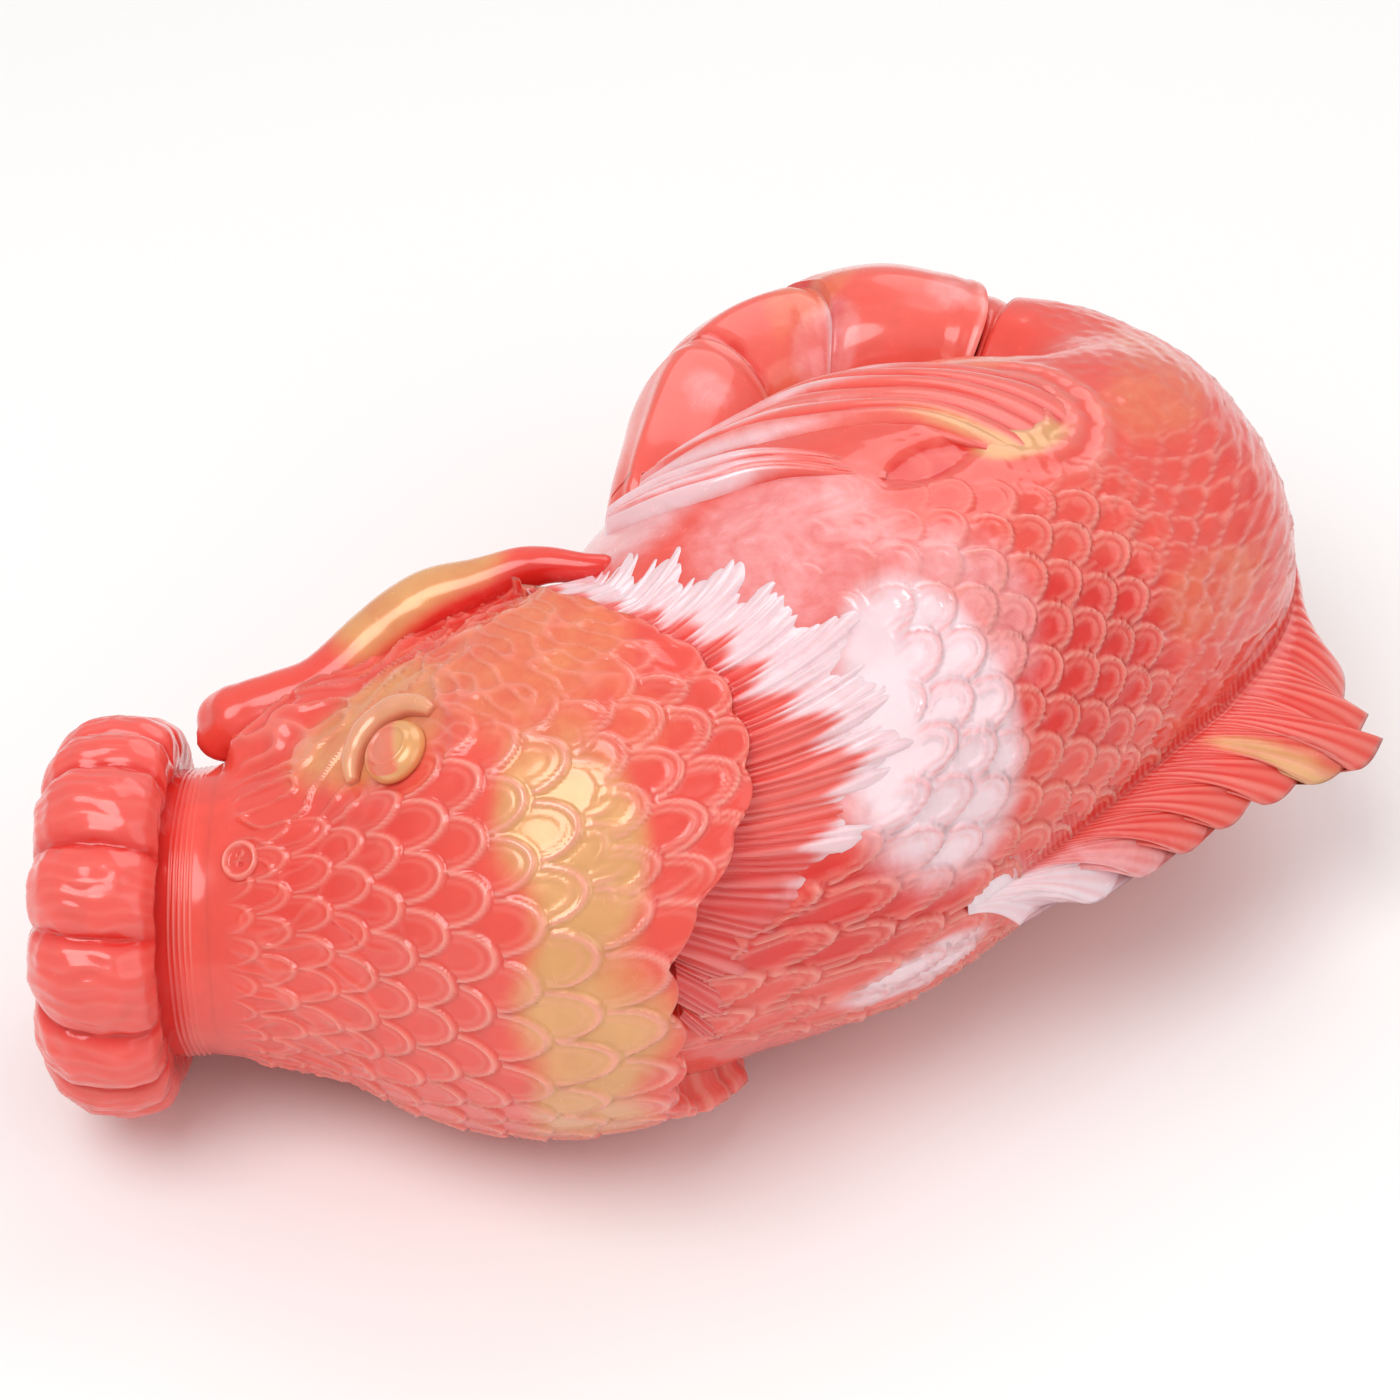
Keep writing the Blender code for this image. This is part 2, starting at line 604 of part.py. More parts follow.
def build():
    clear_scene()
    parts = make_collection("soft_silicone_carp")
    helpers = make_collection("cutters", helper=True)

    coral = silicone("coral_silicone", CORAL)
    deep = silicone("deep_coral_silicone", DEEP_CORAL)
    gold = silicone("gold_silicone", GOLD)
    pearl = silicone("pearl_silicone", PEARL)
    salmon = silicone("salmon_silicone", SALMON)

    floor = floor_cutter(helpers)
    bore = mouth_cutter(helpers)
    half = 0.5 * CLEARANCE
    head_room = as_cutter(loft("head_room", HEAD_SECTIONS, 0.0, HEAD_END + CLEARANCE, helpers, lift=CLEARANCE))
    body_room = as_cutter(loft("body_room", BODY_SECTIONS, HEAD_END, BODY_END, helpers, lift=CLEARANCE))
    eye_places = {"right": EYE_ANGLE, "left": 180.0 - EYE_ANGLE}

    cut(lip_ring(parts, deep), floor)
    cut(loft("neck_collar", HEAD_SECTIONS, LIP_BACK + CLEARANCE, COLLAR_END - half, parts, deep), bore)
    cut(loft("head", HEAD_SECTIONS, COLLAR_END + half, HEAD_END - half, parts, coral), bore, floor)
    cut(loft("body", BODY_SECTIONS, HEAD_END + half, BODY_END - half, parts, salmon), floor)
    cut(loft("tail_stalk", STALK_SECTIONS, BODY_END + half, STALK_END - half, parts, coral), body_room)
    cut(loft("tail_lobe_1", LOBE_1_SECTIONS, STALK_END + half, LOBE_1_END - half, parts, salmon), body_room)
    cut(loft("tail_lobe_2", LOBE_2_SECTIONS, LOBE_1_END + half, LOBE_2_END - half, parts, coral), body_room)
    last = loft("tail_lobe_3", LOBE_3_SECTIONS, LOBE_2_END + half, LOBE_3_END, parts, salmon, rounded=ROUND_END)
    cut(last, body_room)

    fold_rooms = {}
    for side, degrees in eye_places.items():
        mirrored = side == "left"
        eye_room = as_cutter(eye("eye_room_" + side, EYE_PLACE, degrees, helpers, None, CLEARANCE))
        cut(eye("eye_" + side, EYE_PLACE, degrees, parts, gold), head_room, floor)
        flip = -1.0 if mirrored else 1.0
        cut(brow("brow_" + side, EYE_PLACE, degrees, flip, parts, gold), head_room, eye_room, floor)
        ring_angle = 180.0 - NOSTRIL_ANGLE if mirrored else NOSTRIL_ANGLE
        cut(nostril("nostril_" + side, NOSTRIL_PLACE, ring_angle, parts, coral), head_room, floor)
        cut(throat_fold("throat_fold_" + side, mirrored, parts, coral), head_room, floor)
        fold_room = throat_fold("fold_room_" + side, mirrored, helpers, None, CLEARANCE)
        fold_rooms[side] = as_cutter(fold_room)

    frill = frill_on_skin(PECTORAL_EDGE, PECTORAL_START, CLEARANCE)
    cut(sheet("pectoral_fin_right", frill, PECTORAL_THICKNESS, parts, pearl), head_room, fold_rooms["right"])
    frill = frill_on_skin(PECTORAL_LEFT_EDGE, PECTORAL_START, CLEARANCE)
    cut(sheet("pectoral_fin_left", frill, PECTORAL_THICKNESS, parts, pearl), head_room, floor, fold_rooms["left"])
    sheet("pelvic_fin", band_on_skin(PELVIC_LOWER, PELVIC_UPPER, CLEARANCE), PELVIC_THICKNESS, parts, pearl)
    sheet("anal_fin", band_on_skin(ANAL_LOWER, ANAL_UPPER, CLEARANCE), ANAL_THICKNESS, parts, gold)
    cut(sheet("dorsal_fin", dorsal_points(), DORSAL_THICKNESS, parts, coral), body_room)

    base = bpy.data.objects.new("fish_base", None)
    base.location = shift_to_floor(parts)
    parts.objects.link(base)
    for obj in list(parts.objects) + list(helpers.objects):
        if obj is not base:
            obj.parent = base


build()
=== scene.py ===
import math

import bpy
import numpy as np
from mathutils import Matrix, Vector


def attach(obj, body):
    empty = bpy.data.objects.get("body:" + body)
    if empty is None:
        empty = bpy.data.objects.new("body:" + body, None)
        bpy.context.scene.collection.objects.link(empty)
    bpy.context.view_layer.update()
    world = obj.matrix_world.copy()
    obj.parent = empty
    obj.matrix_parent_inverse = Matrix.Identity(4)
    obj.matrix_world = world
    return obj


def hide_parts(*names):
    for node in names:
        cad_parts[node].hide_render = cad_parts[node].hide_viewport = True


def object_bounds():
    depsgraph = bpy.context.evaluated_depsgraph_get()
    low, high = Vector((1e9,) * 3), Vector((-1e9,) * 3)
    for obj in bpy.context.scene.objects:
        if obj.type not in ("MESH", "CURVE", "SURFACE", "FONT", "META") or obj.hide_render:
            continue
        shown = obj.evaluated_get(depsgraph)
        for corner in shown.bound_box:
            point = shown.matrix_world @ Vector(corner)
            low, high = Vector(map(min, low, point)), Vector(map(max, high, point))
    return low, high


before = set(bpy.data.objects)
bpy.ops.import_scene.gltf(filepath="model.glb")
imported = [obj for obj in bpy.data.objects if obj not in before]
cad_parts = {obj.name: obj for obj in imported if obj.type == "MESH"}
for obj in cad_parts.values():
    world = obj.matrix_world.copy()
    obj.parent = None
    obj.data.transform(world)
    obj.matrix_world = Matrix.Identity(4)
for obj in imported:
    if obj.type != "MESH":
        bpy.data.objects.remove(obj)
cad_low, cad_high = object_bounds()
MM = 0.001

# ---- Surface, light and camera -------------------------------------------------------------------
# The fish lies on a plain white sweep, under three large soft lamps and an even white sky. It is
# seen from in front and above, a little from the tail's side.
SWEEP_SIZE = 6.0
SWEEP_WHITE, SWEEP_ROUGHNESS = (0.93, 0.925, 0.92), 0.85
CAMERA_TURN, CAMERA_HEIGHT = math.radians(8.0), math.radians(42.0)
CAMERA_DISTANCE = 0.5
CAMERA_LENS = 85.0
CAMERA_AIM_FROM_MIDDLE = np.array([-6.17, -7.85, -3.1]) * MM
# Lamps: (name, turn and height in degrees, distance and width in metres, watts)
LAMPS = [
    ("key_lamp", -35.0, 62.0, 0.9, 0.6, 3.8),
    ("fill_lamp", 60.0, 40.0, 1.0, 0.8, 1.4),
    ("back_lamp", 165.0, 50.0, 1.0, 0.7, 2.0),
]
SKY_WHITE, SKY_STRENGTH = (1.0, 0.995, 0.99), 0.58

middle = 0.5 * (np.array(cad_low) + np.array(cad_high))


def away(turn, height):
    """Unit vector from the middle: turn goes from -Y towards +X, and height is above the horizon."""
    level = math.cos(height)
    return np.array([math.sin(turn) * level, -math.cos(turn) * level, math.sin(height)])


def aim(obj, place, target):
    """Puts an object at a place, with its -Z axis pointing at the target and its X axis level."""
    back = place - target
    back = back / np.linalg.norm(back)
    right = np.cross([0.0, 0.0, 1.0], back)
    right = right / np.linalg.norm(right)
    axes = np.stack([right, np.cross(back, right), back], axis=1)
    matrix = np.eye(4)
    matrix[:3, :3], matrix[:3, 3] = axes, place
    obj.matrix_world = matrix.T.tolist()


scene = bpy.context.scene
scene.view_settings.view_transform = "Standard"
camera = bpy.data.objects.new("camera", bpy.data.cameras.new("camera"))
camera.data.lens = CAMERA_LENS
camera.data.sensor_width = 36.0
scene.collection.objects.link(camera)
camera_target = middle + CAMERA_AIM_FROM_MIDDLE
aim(camera, camera_target + CAMERA_DISTANCE * away(CAMERA_TURN, CAMERA_HEIGHT), camera_target)
scene.camera = camera

for name, turn, height, distance, width, watts in LAMPS:
    lamp = bpy.data.objects.new(name, bpy.data.lights.new(name, "AREA"))
    lamp.data.shape = "DISK"
    lamp.data.size = width
    lamp.data.energy = watts
    scene.collection.objects.link(lamp)
    aim(lamp, middle + distance * away(math.radians(turn), math.radians(height)), middle)

sky = bpy.data.worlds.new("white_sky")
sky.use_nodes = True
sky_light = sky.node_tree.nodes["Background"].inputs
sky_light["Color"].default_value = (*SKY_WHITE, 1.0)
sky_light["Strength"].default_value = SKY_STRENGTH
scene.world = sky

half = 0.5 * SWEEP_SIZE
sweep_mesh = bpy.data.meshes.new("sweep")
sweep_corners = [(-half, -half, 0), (half, -half, 0), (half, half, 0), (-half, half, 0)]
sweep_mesh.from_pydata(sweep_corners, [], [(0, 1, 2, 3)])
sweep = bpy.data.objects.new("sweep", sweep_mesh)
sweep_paint = bpy.data.materials.new("matt_white_paper")
sweep_paint.use_nodes = True
sweep_look = sweep_paint.node_tree.nodes["Principled BSDF"].inputs
sweep_look["Base Color"].default_value = (*SWEEP_WHITE, 1.0)
sweep_look["Roughness"].default_value = SWEEP_ROUGHNESS
sweep_mesh.materials.append(sweep_paint)
scene.collection.objects.link(sweep)

# ---- Body ----------------------------------------------------------------------------------------
# The thick middle of the fish, cast in one with the rest. Crescent scales stand out of its flank,
# finer ones run on towards the tail, and the pour goes from white behind the gills, through deep
# red, to coral.

# The line: where its place 0 is in plan, and its first heading in degrees
LINE_ORIGIN = np.array(cad_low)[:2] / MM + (18.243, 29.963)
LINE_HEADING = 8.0
# Its turns: (degrees, from place, to place)
LINE_TURNS = [(6, 2, 26), (39, 44, 96), (124, 150, 208), (85, 211, 265)]
# Sections: (place, half depth on the back, half depth on the belly, half thickness, middle's height)
BODY_SECTIONS = [
    (74, 37.0, 37.0, 36.0, 38.5),
    (88, 41.0, 41.0, 39.5, 39.3),
    (104, 43.0, 43.0, 41.8, 41.0),
    (120, 43.0, 43.0, 42.0, 41.3),
    (136, 42.0, 42.0, 40.5, 41.3),
    (152, 41.0, 33.0, 38.0, 41.0),
    (168, 35.5, 17.0, 34.0, 40.5),
    (182, 24.0, 13.0, 27.5, 41.0),
    (196, 18.0, 15.0, 23.0, 42.5),
]
BODY_START, BODY_END = 75.0, 195.85
SKIN_GAP = 0.3
# The edge of the gill cover: (degrees from the flank's top line, place)
GILL_EDGE = [
    *[(-90, 57), (-40, 57), (-26, 58), (-12, 65), (0, 71), (14, 75)],
    *[(28, 75), (44, 72), (54, 68), (64, 64), (90, 63)],
]
GILL_MIDDLE = 68.0
GILL_SCALLOPS = 34
# The fish's middle radius, by which a scale's share of a turn becomes millimetres
MEAN_RADIUS = 39.0
# Edge of the fan of rays that starts under the gill cover: (degrees, how far it reaches past FAN_PLACE)
FAN_PLACE = 76.0
FAN_EDGE = [
    *[(-36, 8), (-15, 12), (10, 19), (32, 23), (40, 20), (50, 12)],
    *[(56, 6), (62, 0), (70, -4), (80, -6), (92, -7)],
]
BODY_AROUND = 430
# Scales: how many go round the fish, then (place, length of a scale there)
CRESCENTS_AROUND = 34
CRESCENT_LENGTHS = [(55, 6.4), (90, 6.2), (102, 5.5), (140, 5.2), (200, 5.0)]
FINE_AROUND, FINE_LENGTHS = 46, [(55, 4.4), (150, 4.2), (170, 3.6), (200, 3.2)]
CORAL = (0.82, 0.082, 0.058)
DEEP_RED = (0.74, 0.026, 0.018)
GOLD = (0.76, 0.37, 0.145)
PEARL = (0.92, 0.69, 0.73)
# Rim colours, painted on raised rims: partly thin silicone's own paler tone, partly a painted highlight
SCALE_RIM = (0.93, 0.36, 0.29)
PEARL_RIM = (0.88, 0.33, 0.34)
SILICONE_ROUGHNESS = 0.22
GRAIN_HEIGHT = 0.1
# How much like metal the gold and pearl pigments are
PEARL_SHINE = 0.12
SILICONE_LOOK = {
    "IOR": 1.43,
    "Subsurface Weight": 0.22,
    "Subsurface Radius": (1.0, 0.30, 0.22),
    "Subsurface Scale": 2.2 * MM,
    "Coat Weight": 0.5,
    "Coat Roughness": 0.07,
}


def ease(value, start, end):
    """0 before start, 1 after end, and an even ease between them."""
    share = np.clip((value - start) / (end - start), 0.0, 1.0)
    return share * share * (3.0 - 2.0 * share)


def swept_line():
    """Places each 0.1 mm along the line, their plan points and their headings: the heading is the
    first heading plus every turn, each eased in between its two places, and the points are its
    running sum."""
    places = np.arange(-20.0, 300.0, 0.1)
    turned = sum(turn * ease(places, start, end) for turn, start, end in LINE_TURNS)
    headings = np.radians(LINE_HEADING + turned)
    between = 0.5 * (headings[1:] + headings[:-1])
    x, y = (np.concatenate([[0.0], np.cumsum(part(between) * 0.1)]) for part in (np.cos, np.sin))
    return places, x - np.interp(0.0, places, x), y - np.interp(0.0, places, y), headings


LINE = swept_line()


def on_line(place):
    """Plan x, plan y and heading at a place on the line."""
    places, x, y, headings = LINE
    return (
        np.interp(place, places, x) + LINE_ORIGIN[0],
        np.interp(place, places, y) + LINE_ORIGIN[1],
        np.interp(place, places, headings),
    )


def through(table, column, place):
    """One column of a table read at a place: a cubic between two rows, with the table's own even
    slopes."""
    table = np.array(table, float)
    knots, values = table[:, 0], table[:, column]
    slopes = np.gradient(values, knots)
    piece = np.clip(np.searchsorted(knots, place, side="right") - 1, 0, len(knots) - 2)
    width = knots[piece + 1] - knots[piece]
    s = np.clip((place - knots[piece]) / width, 0.0, 1.0)
    return (
        (2 * s**3 - 3 * s**2 + 1) * values[piece]
        + (s**3 - 2 * s**2 + s) * width * slopes[piece]
        + (3 * s**2 - 2 * s**3) * values[piece + 1]
        + (s**3 - s**2) * width * slopes[piece + 1]
    )


def stacked(*arrays):
    """Arrays whose shapes fit together, as the last axis of one array: coordinates, or colour masks
    of pigment and painted light."""
    return np.stack(np.broadcast_arrays(*arrays), axis=-1)


def skin(place, angle, sections, lift=0.0):
    """Points of a swept skin: the line's point, plus sine times half depth across the line in plan,
    and the middle height plus cosine times half thickness. The half depth is the back's or the
    belly's, and lift adds to both."""
    x, y, heading = on_line(place)
    back, belly, thickness, height = (through(sections, column, place) for column in (1, 2, 3, 4))
    reach = (np.where(np.sin(angle) > 0.0, back, belly) + lift) * np.sin(angle)
    upright = height + (thickness + lift) * np.cos(angle)
    return stacked(x + np.sin(heading) * reach, y - np.cos(heading) * reach, upright)


def outward(rings, closed=False):
    """Unit normals of a grid of rings: the cross product of the steps round a ring and along the
    rings."""
    around = np.roll(rings, -1, axis=1) - np.roll(rings, 1, axis=1)
    along = np.roll(rings, -1, axis=0) - np.roll(rings, 1, axis=0)
    if not closed:
        along[0], along[-1] = rings[1] - rings[0], rings[-1] - rings[-2]
    normals = np.cross(around, along)
    return normals / np.maximum(np.linalg.norm(normals, axis=-1, keepdims=True), 1e-9)


def ripples(points, length, seed):
    """A smooth random field, about -1 to 1: eleven sine waves of about one length, each in its own
    direction."""
    chance = np.random.default_rng(seed)
    waves = chance.normal(size=(3, 11))
    waves = waves / np.linalg.norm(waves, axis=0)
    waves = waves * chance.uniform(0.7, 1.4, 11) * 2.0 * math.pi / length
    return np.sin(points @ waves + chance.uniform(0.0, 2.0 * math.pi, 11)).sum(axis=-1) / 3.3


def from_flank(angle):
    """Degrees from the flank's top line, the same on both sides: 90 on the back and -90 on the
    belly."""
    return np.degrees(np.arcsin(np.sin(angle)))


def gill_place(angle):
    """Where the gill cover ends, round the fish: the table's place, and small scallops where its
    last scales end."""
    scallops = np.abs(np.cos(0.5 * GILL_SCALLOPS * angle))
    return through(GILL_EDGE, 1, from_flank(angle)) + scallops - 0.5


def patch(place, angle, middle_place, middle_angle, half_place, half_angle, tilt=0.0):
    """A soft spot on the skin: 1 in its middle and 0 outside an ellipse. Tilt leans it, in mm a
    degree."""
    turned = np.mod(np.degrees(angle) - middle_angle + 180.0, 360.0) - 180.0
    far = np.hypot((place - middle_place - tilt * turned) / half_place, turned / half_angle)
    return 1.0 - ease(far, 0.55, 1.25)


def chance_at(row, column, seed):
    """A repeatable random number from 0 to 1 for each pair of whole numbers."""
    return np.mod(np.sin(row * 12.9898 + column * 78.233 + seed * 37.719) * 43758.5453, 1.0)


def scale_field(place, angle, around, lengths, rim_width=0.42, inner_rim=0.0, reach=1.32):
    """Overlapping scales, as roof tiles laid from the head back. Each scale is a half ellipse
    centred on a point of a brick lattice, a little out of place by chance; the foremost scale that
    covers a point is the one that shows. Returns its height, which rises to its rim and rounds off
    at its edge, then the rim alone and the foot, 0 to 1."""
    steps = np.arange(0.0, 101.0, 0.5) if np.min(place) < 50.0 else np.arange(50.0, 201.0, 0.5)
    row_at = np.concatenate([[0.0], np.cumsum(0.5 / through(lengths, 1, steps[:-1]))])
    along = np.interp(place, steps, row_at)
    across = angle / (2.0 * math.pi) * around
    long_mm = through(lengths, 1, place)
    wide_mm = 2.0 * math.pi * MEAN_RADIUS / around
    half_wide = 0.56
    height, rim, foot, taken = (np.zeros(np.shape(along)) for _ in range(4))
    for step in (-1, 0, 1):
        row = np.floor(along) + step
        shift = 0.5 * np.mod(row, 2)
        column = np.floor(across - shift + 0.5)
        wrapped = np.mod(column, around)
        size = 0.93 + 0.16 * chance_at(row, wrapped, 3)
        u = (along - row - 0.16 * (chance_at(row, wrapped, 1) - 0.5)) / (reach * size)
        v = (across - shift - column - 0.12 * (chance_at(row, wrapped, 2) - 0.5)) / half_wide
        far = np.maximum(np.hypot(np.maximum(u, 0.0), v), 1e-3)
        span = np.hypot(np.maximum(u, 0.0) * reach * long_mm, v * half_wide * wide_mm)
        to_edge = span * (1.0 / far - 1.0)
        shows = (far < 1.0) * (1.0 - taken)
        ridge = np.exp(-(((to_edge - 1.5 * rim_width) / (0.80 * rim_width)) ** 2))
        second = np.exp(-(((to_edge - 4.2 * rim_width) / (0.8 * rim_width)) ** 2))
        slope = np.clip(0.25 + 0.75 * u, 0.0, 1.0) * (1.0 - 0.3 * v * v)
        edge = ease(to_edge, 0.0, 1.5 * rim_width)
        height += shows * (0.50 * slope + 0.50 * ridge + 0.45 * inner_rim * second) * edge
        rim += shows * np.clip(ridge + 0.7 * inner_rim * second, 0.0, 1.0) * edge
        foot += shows * ease(u, 0.55, 0.1)
        taken = np.maximum(taken, far < 1.0)
    return height, rim, foot


def shell(name, rings, pour_and_painted_light, relief, closed=False):
    """A closed mesh of rings in millimetres: quads between neighbouring rings, and a fan of
    triangles to the middle of the first and of the last, or quads from the last ring to the first
    if closed. pour_and_painted_light holds how much gold, pearl and deep red there is at each
    point, pigment and painted light alike, and relief how far it stands on a rim, which the
    material paints paler. No point goes below the surface that the fish lies on."""
    rows, columns = rings.shape[:2]
    rings = stacked(rings[..., 0], rings[..., 1], np.maximum(rings[..., 2], 0.0))
    points = rings.reshape(-1, 3)
    tint = np.ones((rows * columns, 4))
    tint[:, :3] = np.clip(np.broadcast_to(pour_and_painted_light, (rows, columns, 3)), 0.0, 1.0).reshape(-1, 3)
    stands = np.broadcast_to(relief, (rows, columns)).reshape(-1)
    index = np.arange(rows * columns).reshape(rows, columns)
    if closed:
        index = np.vstack([index, index[:1]])
    beside = np.roll(index, -1, axis=1)
    quads = np.stack([index[:-1], beside[:-1], beside[1:], index[1:]], axis=-1).reshape(-1, 4)
    fans = np.zeros((0, 3), int)
    if not closed:
        first, last = rows * columns, rows * columns + 1
        points = np.vstack([points, rings[0].mean(axis=0), rings[-1].mean(axis=0)])
        tint = np.vstack([tint, tint[index[0]].mean(axis=0), tint[index[-1]].mean(axis=0)])
        stands = np.concatenate([stands, [0.0, 0.0]])
        fans = np.vstack(
            [
                np.stack([np.full(columns, first), beside[0], index[0]], axis=-1),
                np.stack([index[-1], beside[-1], np.full(columns, last)], axis=-1),
            ]
        )
    corners = np.concatenate([quads[:, [0, 1, 2]], quads[:, [0, 2, 3]], fans])
    a, b, c = (points[corners[:, k]] for k in range(3))
    if np.einsum("ij,ij->i", a, np.cross(b, c)).sum() < 0.0:
        quads, fans = quads[:, ::-1], fans[:, ::-1]
    mesh = bpy.data.meshes.new(name)
    loops = np.concatenate([quads.reshape(-1), fans.reshape(-1)])
    sizes = np.concatenate([np.full(len(quads), 4), np.full(len(fans), 3)])
    mesh.vertices.add(len(points))
    mesh.vertices.foreach_set("co", (points * MM).astype(np.float32).reshape(-1))
    mesh.loops.add(len(loops))
    mesh.loops.foreach_set("vertex_index", loops.astype(np.int32))
    mesh.polygons.add(len(sizes))
    starts = np.concatenate([[0], np.cumsum(sizes)[:-1]])
    mesh.polygons.foreach_set("loop_start", starts.astype(np.int32))
    mesh.update(calc_edges=True)
    for label, kind, field, values in (
        ("pour_and_painted_light", "FLOAT_COLOR", "color", tint.reshape(-1)),
        ("relief", "FLOAT", "value", np.clip(stands, 0.0, 1.0)),
    ):
        mesh.attributes.new(label, kind, "POINT").data.foreach_set(field, values)
    mesh.shade_smooth()
    obj = bpy.data.objects.new(name, mesh)
    scene.collection.objects.link(obj)
    return obj


def pad(top, bottom):
    """Closed rings from two grids of one shape: out along each row of the top grid, and back along
    the bottom's."""
    return np.concatenate([top, bottom[:, ::-1]], axis=1)


def both_faces(values):
    """One value for each point of a pad's rings, the same on its top and its underside."""
    return pad(values, values)


def node_group(name, inputs, outputs):
    """An empty shader group with its sockets, its input node and its output node."""
    group = bpy.data.node_groups.new(name, "ShaderNodeTree")
    for label, kind, value in inputs:
        socket = group.interface.new_socket(label, in_out="INPUT", socket_type="NodeSocket" + kind)
        socket.default_value = value
    for label, kind in outputs:
        group.interface.new_socket(label, in_out="OUTPUT", socket_type="NodeSocket" + kind)
    return group, group.nodes.new("NodeGroupInput"), group.nodes.new("NodeGroupOutput")


def add_node(tree, kind, inputs=(), **settings):
    """A node with its settings, and its inputs given as (socket, value or the output that feeds it)."""
    node = tree.nodes.new(kind)
    for key, value in settings.items():
        setattr(node, key, value)
    for socket, value in dict(inputs).items():
        if isinstance(value, bpy.types.NodeSocket):
            tree.links.new(value, node.inputs[socket])
        else:
            node.inputs[socket].default_value = value
    return node


def maths(tree, operation, *values):
    """The output of a maths node: each value is a number or the output that feeds it."""
    return add_node(tree, "ShaderNodeMath", dict(enumerate(values)), operation=operation).outputs[0]


def mixed(tree, share, first, second):
    """The output of a colour mix: the first colour at share 0, and the second at share 1."""
    inputs = {0: share, 6: first, 7: second}
    return add_node(tree, "ShaderNodeMix", inputs, data_type="RGBA").outputs[2]


def ranged(tree, value, ends, new_ends=(0.0, 1.0), interpolation="LINEAR"):
    """The output of a range node, which takes the first two ends to the other two."""
    labels = ("From Min", "From Max", "To Min", "To Max")
    inputs = {"Value": value, **dict(zip(labels, (*ends, *new_ends)))}
    node = add_node(tree, "ShaderNodeMapRange", inputs, interpolation_type=interpolation)
    return node.outputs["Result"]


def noise(tree, place, scale, detail, roughness=0.5, distortion=0.0):
    """The output of a noise texture: scale is in waves a metre."""
    inputs = {"Vector": place, "Scale": scale, "Detail": detail}
    inputs.update({"Roughness": roughness, "Distortion": distortion})
    return add_node(tree, "ShaderNodeTexNoise", inputs).outputs["Fac"]


def rgba(colour):
    """A colour with an alpha of one."""
    return (*colour, 1.0)


def marbled_pour_and_painted_light():
    """Group: the pigments' masks come from the pour_and_painted_light attribute, and noise through
    the casting feathers their edges and streaks them. Rims are paler, partly as thin silicone is
    and partly as a painted highlight on raised parts; the deep red mask also holds painted shade,
    and pearl pigments shine a little like metal."""
    group, given, made = node_group(
        "marbled_pour_and_painted_light",
        [
            ("Coral", "Color", rgba(CORAL)),
            ("Deep", "Color", rgba(DEEP_RED)),
            ("Gold", "Color", rgba(GOLD)),
            ("Pearl", "Color", rgba(PEARL)),
            ("Rim", "Color", rgba(SCALE_RIM)),
            ("Pearl Rim", "Color", rgba(PEARL_RIM)),
            ("Feather", "Float", 0.55),
            ("Rim Share", "Float", 0.55),
        ],
        [("Color", "Color"), ("Roughness", "Float"), ("Metallic", "Float")],
    )
    given = given.outputs
    place = add_node(group, "ShaderNodeTexCoord").outputs["Object"]
    wide = noise(group, place, 95.0, 5.0, roughness=0.6, distortion=1.2)
    fine = noise(group, place, 420.0, 4.0, roughness=0.65)
    cloud = maths(group, "MULTIPLY_ADD", wide, 0.75, maths(group, "MULTIPLY", fine, 0.25))
    swing = maths(group, "MULTIPLY", maths(group, "SUBTRACT", cloud, 0.5), given["Feather"])
    pour_and_painted_light = add_node(group, "ShaderNodeAttribute", attribute_name="pour_and_painted_light").outputs["Color"]
    pour_and_painted_light = add_node(group, "ShaderNodeSeparateColor", {"Color": pour_and_painted_light}).outputs
    colour = given["Coral"]
    masks = {}
    for channel, pigment in (("Blue", "Deep"), ("Green", "Pearl"), ("Red", "Gold")):
        level = maths(group, "ADD", pour_and_painted_light[channel], swing)
        masks[pigment] = ranged(group, level, (0.12, 0.88), interpolation="SMOOTHSTEP")
        colour = mixed(group, masks[pigment], colour, given[pigment])
    relief = add_node(group, "ShaderNodeAttribute", attribute_name="relief").outputs["Fac"]
    # Raised rims are painted paler: partly thin silicone's own tone, partly a painted highlight
    rim = mixed(group, masks["Pearl"], given["Rim"], given["Pearl Rim"])
    paler = mixed(group, maths(group, "MULTIPLY", relief, given["Rim Share"]), colour, rim)
    mottle = ranged(group, cloud, (0.3, 0.7), (0.93, 1.06))
    inputs = {0: paler, "Scale": mottle}
    mottled = add_node(group, "ShaderNodeVectorMath", inputs, operation="SCALE").outputs[0]
    group.links.new(mottled, made.inputs["Color"])
    ends = (SILICONE_ROUGHNESS - 0.05, SILICONE_ROUGHNESS + 0.06)
    group.links.new(ranged(group, fine, (0.3, 0.7), ends), made.inputs["Roughness"])
    shine = maths(group, "MAXIMUM", masks["Gold"], masks["Pearl"])
    shine = maths(group, "MULTIPLY", shine, PEARL_SHINE)
    group.links.new(shine, made.inputs["Metallic"])
    return group


def cast_grain():
    """Group: the height of the skin's own fine unevenness, soft dimples with small grain on them."""
    sockets = [("Dimples", "Float", 260.0), ("Grain", "Float", 1500.0)]
    group, given, made = node_group("cast_grain", sockets, [("Height", "Float")])
    place = add_node(group, "ShaderNodeTexCoord").outputs["Object"]
    dimples = noise(group, place, given.outputs["Dimples"], 2.0)
    grain = maths(group, "MULTIPLY", noise(group, place, given.outputs["Grain"], 2.0), 0.16)
    group.links.new(maths(group, "ADD", dimples, grain), made.inputs["Height"])
    return group


MARBLED_POUR_AND_PAINTED_LIGHT = marbled_pour_and_painted_light()
CAST_GRAIN = cast_grain()


